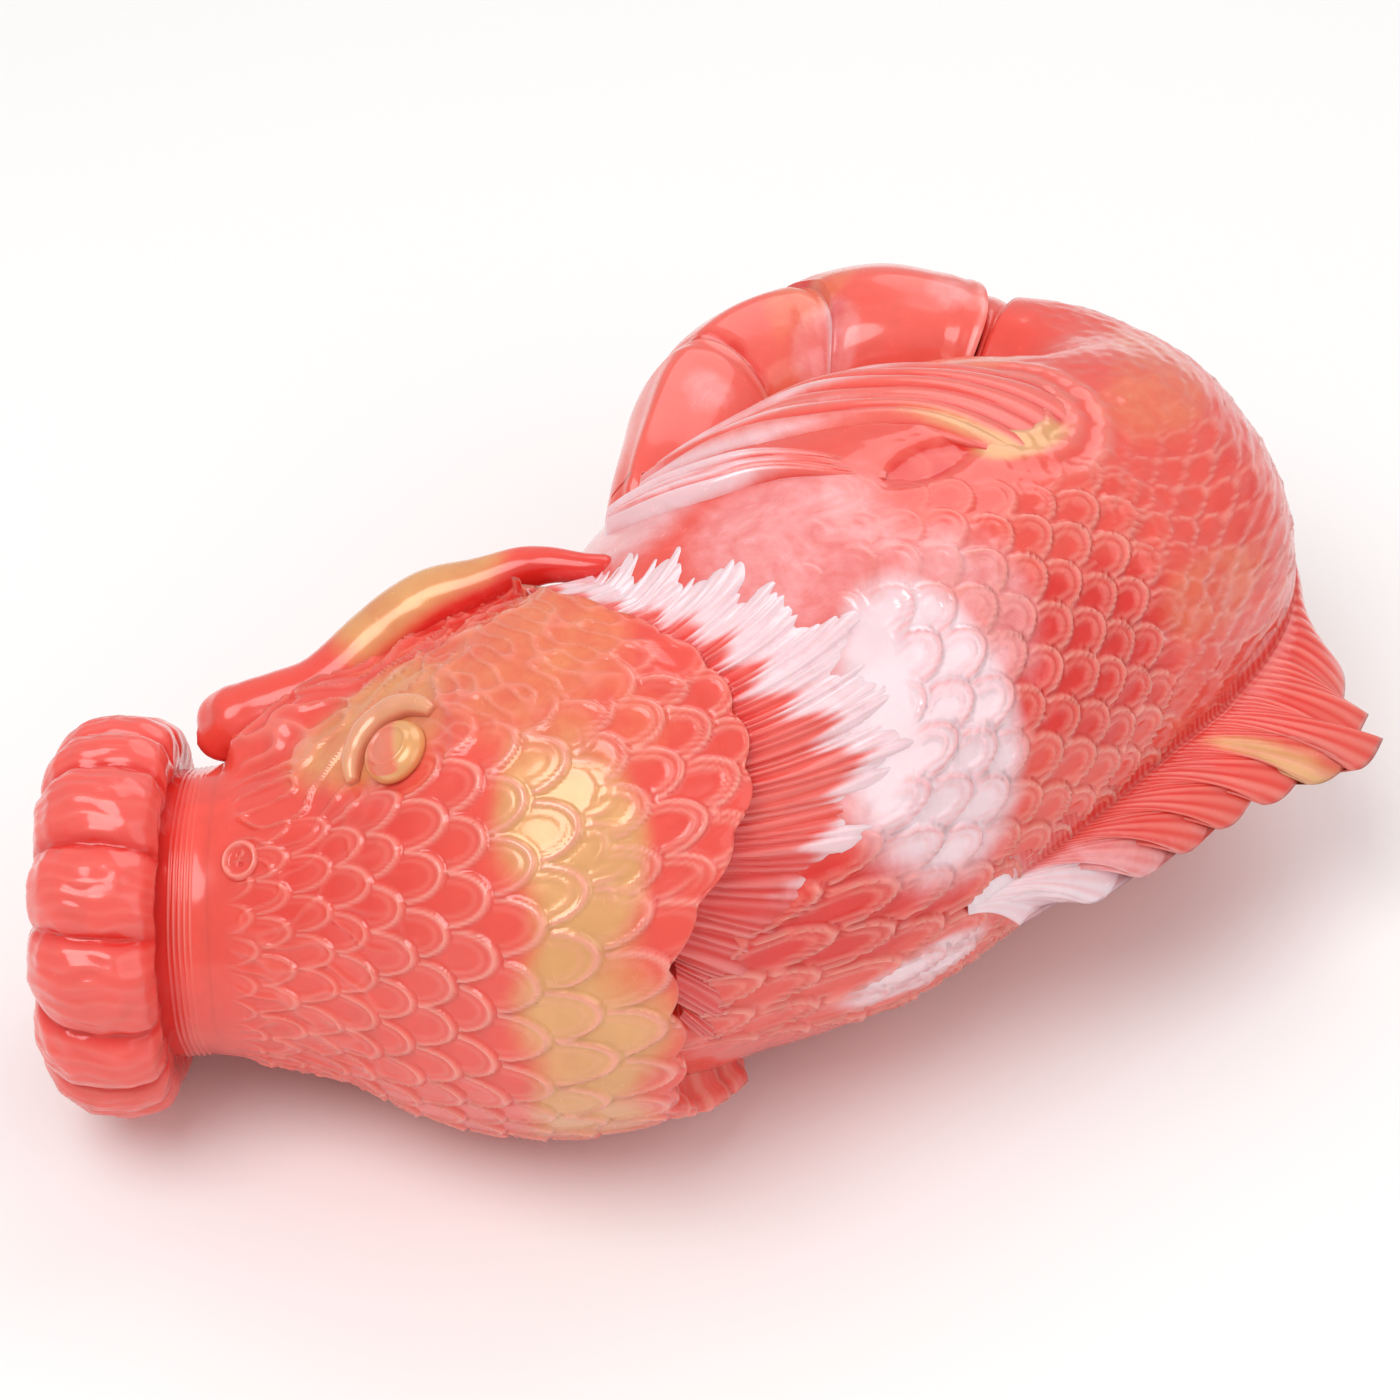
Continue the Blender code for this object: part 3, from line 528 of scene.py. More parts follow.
def silicone(name, coral=CORAL, rim=SCALE_RIM, rim_share=0.8):
    """Soft glossy silicone: the marbled pour's colours with their painted highlights and painted
    shade, light that scatters a little way in, and a wet-looking coat."""
    material = bpy.data.materials.new(name)
    material.use_nodes = True
    tree = material.node_tree
    shader = tree.nodes["Principled BSDF"]
    pour_and_painted_light = add_node(tree, "ShaderNodeGroup", node_tree=MARBLED_POUR_AND_PAINTED_LIGHT)
    for label, value in (("Coral", rgba(coral)), ("Rim", rgba(rim)), ("Rim Share", rim_share)):
        pour_and_painted_light.inputs[label].default_value = value
    grain = add_node(tree, "ShaderNodeGroup", node_tree=CAST_GRAIN).outputs["Height"]
    inputs = {"Height": grain, "Strength": 0.6, "Distance": GRAIN_HEIGHT * MM}
    dents = add_node(tree, "ShaderNodeBump", inputs)
    for source, label, target in (
        (pour_and_painted_light, "Color", "Base Color"),
        (pour_and_painted_light, "Roughness", "Roughness"),
        (pour_and_painted_light, "Metallic", "Metallic"),
        (dents, "Normal", "Normal"),
    ):
        tree.links.new(source.outputs[label], shader.inputs[target])
    for label, value in SILICONE_LOOK.items():
        shader.inputs[label].default_value = value
    return material


def finish_piece(obj, material, node):
    """Gives a piece its material, puts it under the root's empty, and hides the casting that it
    stands for.
    """
    obj.data.materials.append(material)
    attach(obj, "root")
    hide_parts(node)


angle = np.linspace(0.0, 2.0 * math.pi, BODY_AROUND, endpoint=False)[None, :]
fine_rows, wide_rows = np.arange(BODY_START, 142.0, 0.43), np.arange(142.0, BODY_END, 0.9)
reference = np.concatenate([fine_rows, wide_rows, [BODY_END]])[:, None]
start = gill_place(angle) + SKIN_GAP
place = BODY_END - (BODY_END - reference) * (BODY_END - start) / (BODY_END - BODY_START)
base = skin(place, angle, BODY_SECTIONS)
flank = from_flank(angle)
coarse, coarse_rim, coarse_foot = scale_field(
    place, angle, CRESCENTS_AROUND, CRESCENT_LENGTHS, rim_width=0.58, inner_rim=0.7, reach=1.3
)
fine, fine_rim, _ = scale_field(place, angle, FINE_AROUND, FINE_LENGTHS, rim_width=0.42)
coarse_share = (0.30 + 0.70 * ease(flank, 14.0, 34.0)) * ease(flank, -4.0, 16.0)
coarse_share = coarse_share * (1.0 - ease(place + 0.15 * (flank - 60.0), 136.0, 148.0))
fan_reach = through(FAN_EDGE, 1, flank - 8.0 * ease(flank, 20.0, 60.0))
under_fan = 1.0 - ease(place - FAN_PLACE - fan_reach, -5.0, -1.0)
under_fan = under_fan * ease(flank, -40.0, -30.0) * (1.0 - ease(flank, 66.0, 84.0))
coarse_share = coarse_share * (1.0 - under_fan)
coarse_share = coarse_share * (1.0 - patch(place, angle, 139.0, 12.0, 17.0, 15.0))
fine_share = ease(place, 136.0, 148.0) * (1.0 - ease(place, 158.0, 184.0)) * ease(flank, 16.0, 40.0)
pebbles = np.clip(ripples(base, 2.6, 11), -0.4, 1.0)
rear = ease(place, 128.0, 150.0) * ease(flank, -5.0, 12.0) + 0.35 * ease(place, 100.0, 130.0)
swirl_out = np.hypot(place - 141.0, (flank - 4.0) * 0.66)
swirl_side = ease(place - 0.35 * flank, 118.0, 138.0) * (1.0 - ease(swirl_out, 15.0, 22.0))
swirl = sum(np.exp(-(((swirl_out - far) / 1.1) ** 2)) for far in (5.5, 10.0, 14.5)) * swirl_side
lift = 1.25 * coarse * coarse_share + 0.62 * fine * fine_share
lift = lift + 0.17 * pebbles * np.clip(rear, 0, 1) + 0.45 * swirl
pit = patch(place, angle, 141.0, 5.0, 5.0, 7.0)
hollow = patch(place, angle, 122.0, 7.0, 9.0, 5.0, 0.4)
lift = lift - 0.9 * pit - hollow
lift = lift + 0.35 * ripples(base, 26.0, 5) * ease(place, 96.0, 120.0)
fade_ends = ease(place, start, start + 2.0) * (1.0 - ease(place, BODY_END - 8.0, BODY_END))
rings = base + outward(base) * (lift * fade_ends)[..., None]
inside = skin(np.full_like(start, GILL_MIDDLE + SKIN_GAP), angle, BODY_SECTIONS, -36.0)
rings = np.concatenate([0.7 * rings[:1] + 0.3 * inside, rings])
gold = np.maximum.reduce(
    [
        0.85 * patch(place, angle, 137.0, 13.0, 9.0, 6.0, 0.5),
        0.34 * patch(place, angle, 150.0, 62.0, 13.0, 12.0, 0.3),
        0.35 * patch(place, angle, 168.0, 20.0, 18.0, 16.0),
        0.40 * patch(place, angle, 150.0, -20.0, 12.0, 12.0),
    ]
)
pearl = np.maximum.reduce(
    [
        0.98 * patch(place, angle, 95.0, 50.0, 14.0, 34.0, -0.08),
        0.42 * patch(place, angle, 106.0, 36.0, 16.0, 22.0),
        0.40 * patch(place, angle, 96.0, 4.0, 20.0, 26.0),
        0.85 * patch(place, angle, 88.0, 104.0, 10.0, 9.0),
        0.50 * patch(place, angle, 92.0, -44.0, 22.0, 26.0),
    ]
)
# Deep red: the pour's own deep zones, plus painted shade in the pit, in the hollow and, through each
# scale's foot, in the dip behind the rim before it
deep = np.maximum.reduce(
    [
        1.15 * patch(place, angle, 124.0, 58.0, 21.0, 21.0, 0.15),
        1.4 * patch(place, angle, 83.0, 76.0, 15.0, 16.0, -0.05),
        pit,
        hollow,
        0.6 * patch(place, angle, 172.0, 60.0, 20.0, 30.0),
    ]
) * (0.55 + 0.45 * coarse_foot)
# Paler rims: partly thin silicone's own tone, partly a painted highlight on the raised scale rims and
# swirl crests
rim = coarse_rim * coarse_share + 0.7 * fine_rim * fine_share + 0.4 * swirl
extend = [0, *range(len(place))]
body = shell("body_casting", rings, stacked(gold, pearl, deep)[extend], rim[extend])
finish_piece(body, silicone("salmon_body_silicone"), "body")

# ---- Head ----------------------------------------------------------------------------------------
# The head and its gill covers, with the blind mouth down its middle. Rounded scales cover the cheek
# and the crown, some with a second rim near the gill edge; the skin between eye and throat is
# wrinkled, and a gold band runs down it.
HEAD_SECTIONS = [
    (0, 20.0, 21.0, 20.5, 30.0),
    (8, 20.0, 22.0, 21.0, 30.2),
    (22, 24.5, 27.5, 25.5, 32.0),
    (38, 34.5, 37.0, 33.0, 34.7),
    (54, 42.0, 42.0, 38.0, 37.2),
    (66, 42.5, 42.5, 39.0, 38.5),
    (76, 41.0, 41.0, 38.5, 39.0),
]
HEAD_START = 9.5
HEAD_AROUND = 520
HEAD_ALONG = 178
CHEEK_AROUND, CHEEK_LENGTHS = 29, [(0, 5.0), (14, 5.0), (34, 5.4), (46, 5.3), (56, 5.0), (76, 4.6)]
DOUBLE_AROUND, DOUBLE_LENGTHS = 34, [(0, 4.6), (60, 4.4), (101, 4.2)]
LIP_BACK = 1.5
MOUTH_RADIUS = 11.0
MOUTH_BACK = 48.5
MOUTH_HEIGHT = 30.0
EYE_PLACE, EYE_ANGLE = 36.0, 11.0


def mouth_ring(reach, radius, angle):
    """Circles round the mouth's straight axis, at a reach behind the lips' back: axis point, plus
    sine times radius across it in plan and cosine times radius upright."""
    x, y, heading = on_line(LIP_BACK)
    out = radius * np.sin(angle)
    x = x + reach * np.cos(heading) + np.sin(heading) * out
    y = y + reach * np.sin(heading) - np.cos(heading) * out
    return stacked(x, y, MOUTH_HEIGHT + radius * np.cos(angle))


angle = np.linspace(0.0, 2.0 * math.pi, HEAD_AROUND, endpoint=False)[None, :]
flank = from_flank(angle)
end = gill_place(angle) - 0.1
share = np.concatenate([[0.0], np.linspace(0.0005, 1.0, HEAD_ALONG - 1)])[:, None]
place = HEAD_START + share * (end - HEAD_START)
base = skin(place, angle, HEAD_SECTIONS)
scaled, scaled_rim, scaled_foot = scale_field(
    place, angle, CHEEK_AROUND, CHEEK_LENGTHS, rim_width=0.50, inner_rim=0.35, reach=1.2
)
double, double_rim, _ = scale_field(
    place, angle, DOUBLE_AROUND, DOUBLE_LENGTHS, rim_width=0.38, inner_rim=0.9, reach=1.2
)
near_gill = ease(place, 57.0, 62.0) * ease(flank, 14.0, 20.0) * (1.0 - ease(flank, 50.0, 58.0))
cheek = ease(flank + 0.20 * (place - 30.0), 13.0, 24.0) * ease(place, 11.0, 16.0)
cheek = cheek * (0.55 + 0.45 * ease(place, 20.0, 44.0))
flow = stacked(place, flank * 0.62, 0.0)
swirls = np.exp(-((ripples(flow, 7.5, 21) / 0.22) ** 2))
wrinkled = (1.0 - cheek) * ease(place, 11.0, 17.0) * (1.0 - ease(place, 40.0, 52.0))
wrinkled = wrinkled * ease(flank, -72.0, -58.0)
bumps = np.exp(-((ripples(flow, 4.6, 22) / 0.24) ** 2))
bumpy = (1.0 - cheek) * ease(place, 34.0, 46.0) * ease(flank, -60.0, -40.0)
to_eye = np.hypot(place - EYE_PLACE, (flank - EYE_ANGLE) * 0.60)
lift = scaled * cheek * (1.0 - near_gill) + 0.85 * double * near_gill
calm = ease(to_eye, 6.0, 9.0)
lift = lift + (0.85 * swirls * wrinkled + 0.42 * bumps * bumpy) * calm
lift = lift - 0.7 * (1.0 - ease(to_eye, 4.5, 9.5))
lift = lift + 0.5 * np.exp(-(((to_eye - 9.2) / 1.6) ** 2)) * ease(flank, 0.0, 14.0)
lift = lift - 1.6 * patch(place, np.radians(flank), 50.0, -30.0, 16.0, 12.0)
lift = lift + 3.4 * patch(place, np.radians(flank), 18.0, -36.0, 13.0, 20.0)
lift = lift + 0.35 * ripples(base, 30.0, 6)
lift = lift * ease(place, HEAD_START, HEAD_START + 4.0) + 0.4 * ease(place, end - 3.2, end - 0.6)
outer = base + outward(base) * lift[..., None]
# How the gill cover's edge turns in: (past the edge, lift)
rim_lift = [(0.15, 0.55), (0.22, -0.25), (0.15, -1.2), (-0.3, -2.4), (-0.3, -5.0)]
edge = [skin(end + ahead, angle, HEAD_SECTIONS, up) for ahead, up in rim_lift]
inside = [skin(np.full_like(end, GILL_MIDDLE - 0.3), angle, HEAD_SECTIONS, -37.0)]
mouth_end, mouth_start = MOUTH_BACK - LIP_BACK, HEAD_START - LIP_BACK
bore = [mouth_ring(mouth_end, 6.0, angle)]
for reach in (mouth_end, 34.0, 22.0, 12.0, mouth_start + 0.6):
    bore.append(mouth_ring(reach, MOUTH_RADIUS, angle))
bore.append(mouth_ring(mouth_start, 11.6, angle))
rings = np.concatenate([*bore, outer, *edge, *inside])
drift = place + 1.6 * ripples(base, 22.0, 23)
band = ease(drift, 45.0, 54.0) * (1.0 - ease(drift, 58.0, 66.0))
gold = np.maximum.reduce(
    [
        0.88 * band * patch(place, angle, 55.0, 72.0, 30.0, 62.0),
        0.62 * patch(place, angle, 33.0, -2.0, 14.0, 22.0),
        0.42 * patch(place, angle, 55.0, -4.0, 18.0, 28.0),
        0.30 * patch(place, angle, 60.0, 20.0, 14.0, 14.0),
        0.9 * band * patch(place, angle, 55.0, 205.0, 20.0, 30.0),
    ]
)
# Deep red: the pour's own zones, painted shadow round the throat fold's root, and painted shade in each
# scale's foot behind the rim before it
deep = np.maximum.reduce(
    [
        0.45 * patch(place, angle, 28.0, 40.0, 18.0, 26.0),
        0.85 * patch(place, angle, 51.0, -42.0, 12.0, 20.0),
        0.35 * patch(place, angle, 69.0, 30.0, 9.0, 24.0),
        0.30 * patch(place, angle, 20.0, 150.0, 26.0, 40.0),
    ]
) * (0.6 + 0.4 * scaled_foot)
# Paler rims and wrinkle crests: partly thin silicone's own tone, partly a painted highlight on the
# raised parts
rim = scaled_rim * cheek * (1.0 - near_gill) + double_rim * near_gill
rim = rim + 0.45 * (swirls * wrinkled + bumps * bumpy)
extend = [*[0] * len(bore), *range(HEAD_ALONG), *[-1] * (len(edge) + len(inside))]
head = shell("head_casting", rings, stacked(gold, 0.0, deep)[extend], rim[extend])
finish_piece(head, silicone("coral_head_silicone"), "head")

# ---- Lips ----------------------------------------------------------------------------------------
# A thick rolled ring round the open mouth, gathered into fourteen soft puffs with fine creases from
# front to back.
LIP_PUFFS = 14
LIP_AROUND = 420
LIP_CORAL = (0.84, 0.105, 0.085)
# Profile of the ring: (radius, how far in front of its back), once round
LIP_PROFILE = [
    (11.2, 0.4),
    (11.0, 6.0),
    (11.2, 12.0),
    (12.2, 15.4),
    (14.6, 16.8),
    (18.5, 17.0),
    (22.5, 16.4),
    (26.0, 14.2),
    (28.2, 11.2),
    (28.9, 7.0),
    (28.8, 2.8),
    (27.4, -0.4),
    (24.4, -1.6),
    (19.0, -0.6),
    (13.0, 0.2),
]
turned = np.linspace(0.0, 1.0, 92, endpoint=False)
knots = np.linspace(0.0, 1.0, len(LIP_PROFILE) + 1)
profile = np.array(LIP_PROFILE + LIP_PROFILE[:1])
radius, reach = (np.interp(turned, knots, profile[:, k]) for k in (0, 1))
smooth = np.array([0.1, 0.2, 0.4, 0.2, 0.1])
looped = (np.concatenate([line[-2:], line, line[:2]]) for line in (radius, reach))
radius, reach = (np.convolve(line, smooth, mode="valid") for line in looped)
radius, reach = radius[:, None], reach[:, None]
angle = np.linspace(0.0, 2.0 * math.pi, LIP_AROUND, endpoint=False)[None, :]
wander = 0.10 * np.sin(3 * angle + 0.6) + 0.06 * np.sin(5 * angle + 2.1)
lean = 0.003 * (reach - 8.0)
phase = LIP_PUFFS * (angle + wander + lean)
puff = np.abs(np.sin(0.5 * phase)) ** 0.5
outer_share = ease(radius, 14.0, 23.0)
wave = 13.0 * phase / 2.0 + 1.2 * np.sin(0.7 * reach + 9.0 * angle) + 2.0 * np.sin(2 * angle)
creases = np.clip(np.sin(wave), -0.2, 1.0)
depth = outer_share * (2.9 * (puff - 0.86) + 0.16 * creases * ease(reach, 2.0, 7.0))
swell = 1.0 + depth / np.maximum(radius, 12.0)
forward = reach + (0.9 * (puff - 0.8)) * outer_share * ease(reach, 9.0, 15.0)
rings = mouth_ring(-forward, radius * swell, angle)
rings = rings + outward(rings, closed=True) * (0.12 * ripples(rings, 4.0, 31))[..., None]
# Deeper red in the grooves between the puffs and on the ring's inner face, into the mouth, is painted
# shade; the paler crease crests are partly a painted highlight
groove = 1.0 - ease(puff, 0.25, 0.75)
pour_and_painted_light = stacked(0.0, 0.0, 0.15 + 0.6 * groove * outer_share + 0.5 * (1.0 - outer_share))
relief = 0.14 * np.clip(creases, 0, 1) * outer_share * puff
lips = shell("rolled_lips", rings, pour_and_painted_light, relief, closed=True)
lip_silicone = silicone("coral_lip_silicone", coral=LIP_CORAL)
finish_piece(lips, lip_silicone, "lip_ring")

# ---- Neck collar ---------------------------------------------------------------------------------
# A short smooth neck between the lips and the head, with a few fine raised lines round it where the
# mould closed.
COLLAR_START, COLLAR_END, COLLAR_ROWS = 1.8, 9.5, 60
angle = np.linspace(0.0, 2.0 * math.pi, 300, endpoint=False)[None, :]
place = np.linspace(COLLAR_START, COLLAR_END, COLLAR_ROWS)[:, None]
place[-2] = COLLAR_END - 0.02
base = skin(place, angle, HEAD_SECTIONS)
lines = np.clip(np.sin((place - 4.0) * 2.0 * math.pi / 0.75), 0.0, 1.0)
lines = lines * ease(place, 3.6, 4.4) * (1.0 - ease(place, 7.0, 7.8))
strong = np.maximum.reduce([patch(place, angle, 5.8, at, 30.0, 26.0) for at in (42, 150, 290)])
lines = lines * (0.25 + 0.75 * strong)
calm = 1.0 - ease(place, COLLAR_END - 2.0, COLLAR_END)
outer = base + outward(base) * (0.22 * lines + 0.18 * ripples(base, 12.0, 41) * calm)[..., None]
front, back = COLLAR_START - LIP_BACK, COLLAR_END - LIP_BACK
bore = ((front + 0.1, MOUTH_RADIUS), (front, 12.0), (back, 12.0), (back - 0.1, MOUTH_RADIUS))
bore = [mouth_ring(reach, radius, angle) for reach, radius in bore]
rings = np.concatenate([*bore[:2], outer, *bore[2:]])
extend = [0, 0, *range(COLLAR_ROWS), -1, -1]
# Deep red just behind the lips, fading towards the head, is the lips' painted shadow on the neck; the
# raised lines are painted paler, partly as a highlight
pour_and_painted_light = stacked(0.0, 0.0, 1.0 - ease(place, 3.0, 8.0))[extend]
collar = shell("neck_collar_casting", rings, pour_and_painted_light, (0.6 * lines)[extend], closed=True)
finish_piece(collar, silicone("coral_collar_silicone"), "neck_collar")

# ---- Throat folds --------------------------------------------------------------------------------
# A smooth roll of skin on each side of the throat, thick at the lips and thinning towards the
# gills, with a painted highlight in gold along its top and painted shadow in deep red under it.

# Its path: (place, degrees, lift of its middle, radius)
THROAT_FOLD = [
    (5, -43, 4.4, 4.8),
    (12, -46, 5.0, 5.7),
    (19, -47, 3.6, 5.3),
    (26, -47, 2.0, 5.0),
    (34, -47, 2.4, 5.2),
    (42, -46, 2.8, 5.2),
    (50, -44, 1.4, 4.2),
    (62, -42, 0.4, 3.2),
    (72, -38, -0.6, 2.4),
    (82, -33, -2.6, 1.9),
]


def tube(path, radius, sides):
    """Rings round a path: at each point, radius times cosine along a level direction and sine along
    the third one. The radius may differ at each point round each ring, and it shrinks to a dome at
    both ends, over one radius."""
    ahead = np.gradient(path, axis=0)
    ahead = ahead / np.linalg.norm(ahead, axis=1, keepdims=True)
    level = np.cross(ahead, [0.0, 0.0, 1.0])
    level = level / np.linalg.norm(level, axis=1, keepdims=True)
    third = np.cross(level, ahead)
    turn = np.linspace(0.0, 2.0 * math.pi, sides, endpoint=False)
    gone = np.concatenate([[0.0], np.cumsum(np.linalg.norm(np.diff(path, axis=0), axis=1))])
    to_end = np.minimum(gone, gone[-1] - gone)[:, None]
    span = np.max(radius, axis=1, keepdims=True)
    domed = 1.0 - np.clip(to_end / span, 0.02, 1.0)
    radius = radius * np.sqrt(np.clip(1.0 - domed**2, 0.0, 1.0))
    return (
        path[:, None, :]
        + (radius * np.cos(turn))[..., None] * level[:, None, :]
        + (radius * np.sin(turn))[..., None] * third[:, None, :]
    )


fold_silicone = silicone("coral_fold_silicone")
for side, mirrored in (("right", False), ("left", True)):
    place = np.linspace(THROAT_FOLD[0][0], THROAT_FOLD[-1][0], 200)
    degrees = through(THROAT_FOLD, 1, place)
    degrees = 180.0 - degrees if mirrored else degrees
    path = skin(place, np.radians(degrees), HEAD_SECTIONS, through(THROAT_FOLD, 2, place))
    radius = through(THROAT_FOLD, 3, place)[:, None] + np.zeros((1, 72))
    rings = tube(path, radius, 72)
    crease = np.exp(-((ripples(rings * (0.5, 0.5, 1.0), 13.0, 52) / 0.2) ** 2))
    folded = 0.30 * ripples(rings, 9.0, 51) + 0.35 * crease
    folded = folded * ease(place, 20.0, 8.0)[:, None] + 0.12 * folded
    rings = rings + outward(rings) * folded[..., None]
    # Gold along the top of the roll is a painted highlight, and deep red under it painted shadow
    painted_light_top = ease(rings[..., 2] - path[:, None, 2], 0.0, 4.0)
    gold = 0.75 * ease(place, 26.0, 34.0)[:, None] * (1.0 - ease(place, 52.0, 66.0)[:, None]) * painted_light_top
    deep = 0.8 * (1.0 - painted_light_top) * ease(place, 24.0, 40.0)[:, None] + 0.3 * (1.0 - painted_light_top)
    fold = shell("throat_fold_casting_" + side, rings, stacked(gold, 0.0, deep), 0.0)
    finish_piece(fold, fold_silicone, "throat_fold_" + side)

# ---- Eyes, brows and nostrils --------------------------------------------------------------------
# A low round eye in gold pour with a raised iris ring, a crescent of rolled skin hooding its front,
# and a small ring with two pin holes on the snout. The left ones are the right ones mirrored in the
# fish's own middle plane.
EYE_RADIUS, EYE_HEIGHT = 4.8, 2.6
BROW_RADIUS, BROW_THICKNESS, BROW_SPAN = 7.5, 2.0, (35.0, 192.0)
NOSTRIL_PLACE, NOSTRIL_ANGLE = 14.0, 28.0
NOSTRIL_RADIUS, NOSTRIL_THICKNESS = 2.4, 0.8
EYE_GOLD = (0.82, 0.30, 0.19)


def head_frame(place, degrees):
    """A point on the head's skin and three unit directions there: along the fish, across it, and
    outwards."""
    small = np.array([[-0.5, 0.0, 0.5], [0.0, 0.0, 0.0]])
    angles = math.radians(degrees) + np.array([[0.0, 0.0, 0.0], [-0.01, 0.0, 0.01]])
    points = skin(place + small, angles, HEAD_SECTIONS)
    along = points[0, 2] - points[0, 0]
    around = points[1, 2] - points[1, 0]
    up = np.cross(around, along)
    up = up / np.linalg.norm(up)
    across = np.cross(up, along)
    across = across / np.linalg.norm(across)
    return points[0, 1], np.cross(across, up), across, up


def on_frame(frame_of, local):
    """Local points (along, across, outwards) put on a frame of the head."""
    origin, along, across, up = frame_of
    return origin + local[..., :1] * along + local[..., 1:2] * across + local[..., 2:] * up


eye_silicone = silicone("gold_eye_silicone", coral=EYE_GOLD)
brow_silicone = silicone("gold_brow_silicone", coral=EYE_GOLD)
nostril_silicone = silicone("coral_nostril_silicone")
for side, mirrored in (("right", False), ("left", True)):
    flip = -1.0 if mirrored else 1.0
    at_eye = head_frame(EYE_PLACE, 180.0 - EYE_ANGLE if mirrored else EYE_ANGLE)
    turn = np.linspace(0.0, 2.0 * math.pi, 96, endpoint=False)[None, :]
    share = np.sin(np.linspace(0.0, 0.5 * math.pi, 48))[:, None]
    dome = EYE_HEIGHT * np.sqrt(np.clip(1.0 - share**2, 0.0, 1.0))
    iris = 0.22 * np.exp(-(((share - 0.62) / 0.06) ** 2)) - 0.25 * (1.0 - ease(share, 0.50, 0.60))
    out = EYE_RADIUS * share
    local = stacked(out * np.cos(turn), out * np.sin(turn) * flip, dome + iris)
    below = stacked(EYE_RADIUS * np.cos(turn), EYE_RADIUS * np.sin(turn) * flip, -0.5)
    rings = on_frame(at_eye, np.concatenate([local[1:], below]))
    red = 0.75 * patch(out * np.cos(turn), 0.0, -1.2, 0.0, 3.0, 9.0) * (share < 0.9)
    gold = 1.0 - red
    pour_and_painted_light = stacked(gold, 0.25 * gold, 0.6 * red)[[*range(1, 48), 47]]
    eye = shell("eye_dome_" + side, rings, pour_and_painted_light, 0.0)
    finish_piece(eye, eye_silicone, "eye_" + side)

    turns = np.radians(np.linspace(*BROW_SPAN, 110)) * flip
    taper = np.sqrt(np.clip(1.0 - 0.8 * np.linspace(-1.0, 1.0, 110) ** 2, 0.0, 1.0))
    path = stacked(BROW_RADIUS * np.cos(turns), BROW_RADIUS * np.sin(turns), -0.25)
    inward = stacked(-np.cos(turns), -np.sin(turns), 0.0)
    around = np.linspace(0.0, 2.0 * math.pi, 40, endpoint=False)
    radius = (BROW_THICKNESS * taper)[:, None] * (1.0 + 0.04 * np.sin(9.0 * turns)[:, None])
    local = (
        path[:, None, :]
        + (radius * np.cos(around))[..., None] * inward[:, None, :]
        + (radius * np.sin(around))[..., None] * np.array([0.0, 0.0, 1.0])
    )
    rings = on_frame(at_eye, local)
    # Deep red towards the brow's underside, where it meets the skin, is painted shade; its crest is
    # painted paler, partly as a highlight
    crest = ease(np.sin(around), 0.3, 1.0)[None, :] * taper[:, None]
    pour_and_painted_light = stacked(0.7 * crest + 0.3, 0.55 * crest, 0.3 * (1 - crest))
    brow = shell("brow_crescent_" + side, rings, pour_and_painted_light, 0.5 * crest)
    finish_piece(brow, brow_silicone, "brow_" + side)

    at_nostril = head_frame(NOSTRIL_PLACE, 180.0 - NOSTRIL_ANGLE if mirrored else NOSTRIL_ANGLE)
    turn = np.linspace(0.0, 2.0 * math.pi, 72, endpoint=False)[None, :]
    # Profile from the middle out: a floor with two pin holes, the ring, and down into the skin
    over_ring = np.cos(np.linspace(0.6, math.pi, 16))
    out = np.concatenate([np.linspace(0.15, 1.7, 16), NOSTRIL_RADIUS - NOSTRIL_THICKNESS * over_ring])
    out = out[:, None]
    high = 0.30 + 0.55 * np.exp(-(((out - NOSTRIL_RADIUS) / 0.42) ** 2)) - 0.9 * ease(out, 2.9, 3.25)
    x, y = out * np.cos(turn), out * np.sin(turn)
    pins = sum(np.exp(-((x**2 + (y - at) ** 2) / 0.09)) for at in (-0.65, 0.65))
    rings = on_frame(at_nostril, stacked(x, y * flip, high - 0.35 * pins))
    # Deep red in the two pin holes is painted shade; the ring's crest is painted paler, partly as a
    # highlight
    relief = 0.8 * np.exp(-(((out - NOSTRIL_RADIUS) / 0.4) ** 2))
    nostril = shell("nostril_ring_" + side, rings, stacked(0.0, 0.0, 0.9 * pins + 0.25), relief)
    finish_piece(nostril, nostril_silicone, "nostril_" + side)

# ---- Pectoral fins -------------------------------------------------------------------------------
# A fan of fine rays that starts under each gill cover's edge and lies back on the body. The rays
# bunch into pointed tufts; the pour there is red at the root and white at the tips.

# Edge of the left fan: (degrees, how far it reaches past FAN_PLACE)
PECTORAL_LEFT_EDGE = [(207, 8), (220, 16), (235, 21), (250, 16), (262, 8)]
PECTORAL_THICKNESS = 2.2
# How deep a fin's underside lies in the body's skin
FIN_ROOT = 1.2
# The rays spread as they run back: (degrees at the root, degrees the tip is turned round the body)
PECTORAL_SPREAD = [(-36, -22), (-15, -18), (10, -8), (30, 2), (50, 13), (66, 20), (92, 24)]


def saw(value, sharp):
    """A row of rounded teeth, one a unit: 1 at each tip, and 0 in the notches between."""
    return 1.0 - np.abs(2.0 * np.mod(value, 1.0) - 1.0) ** sharp


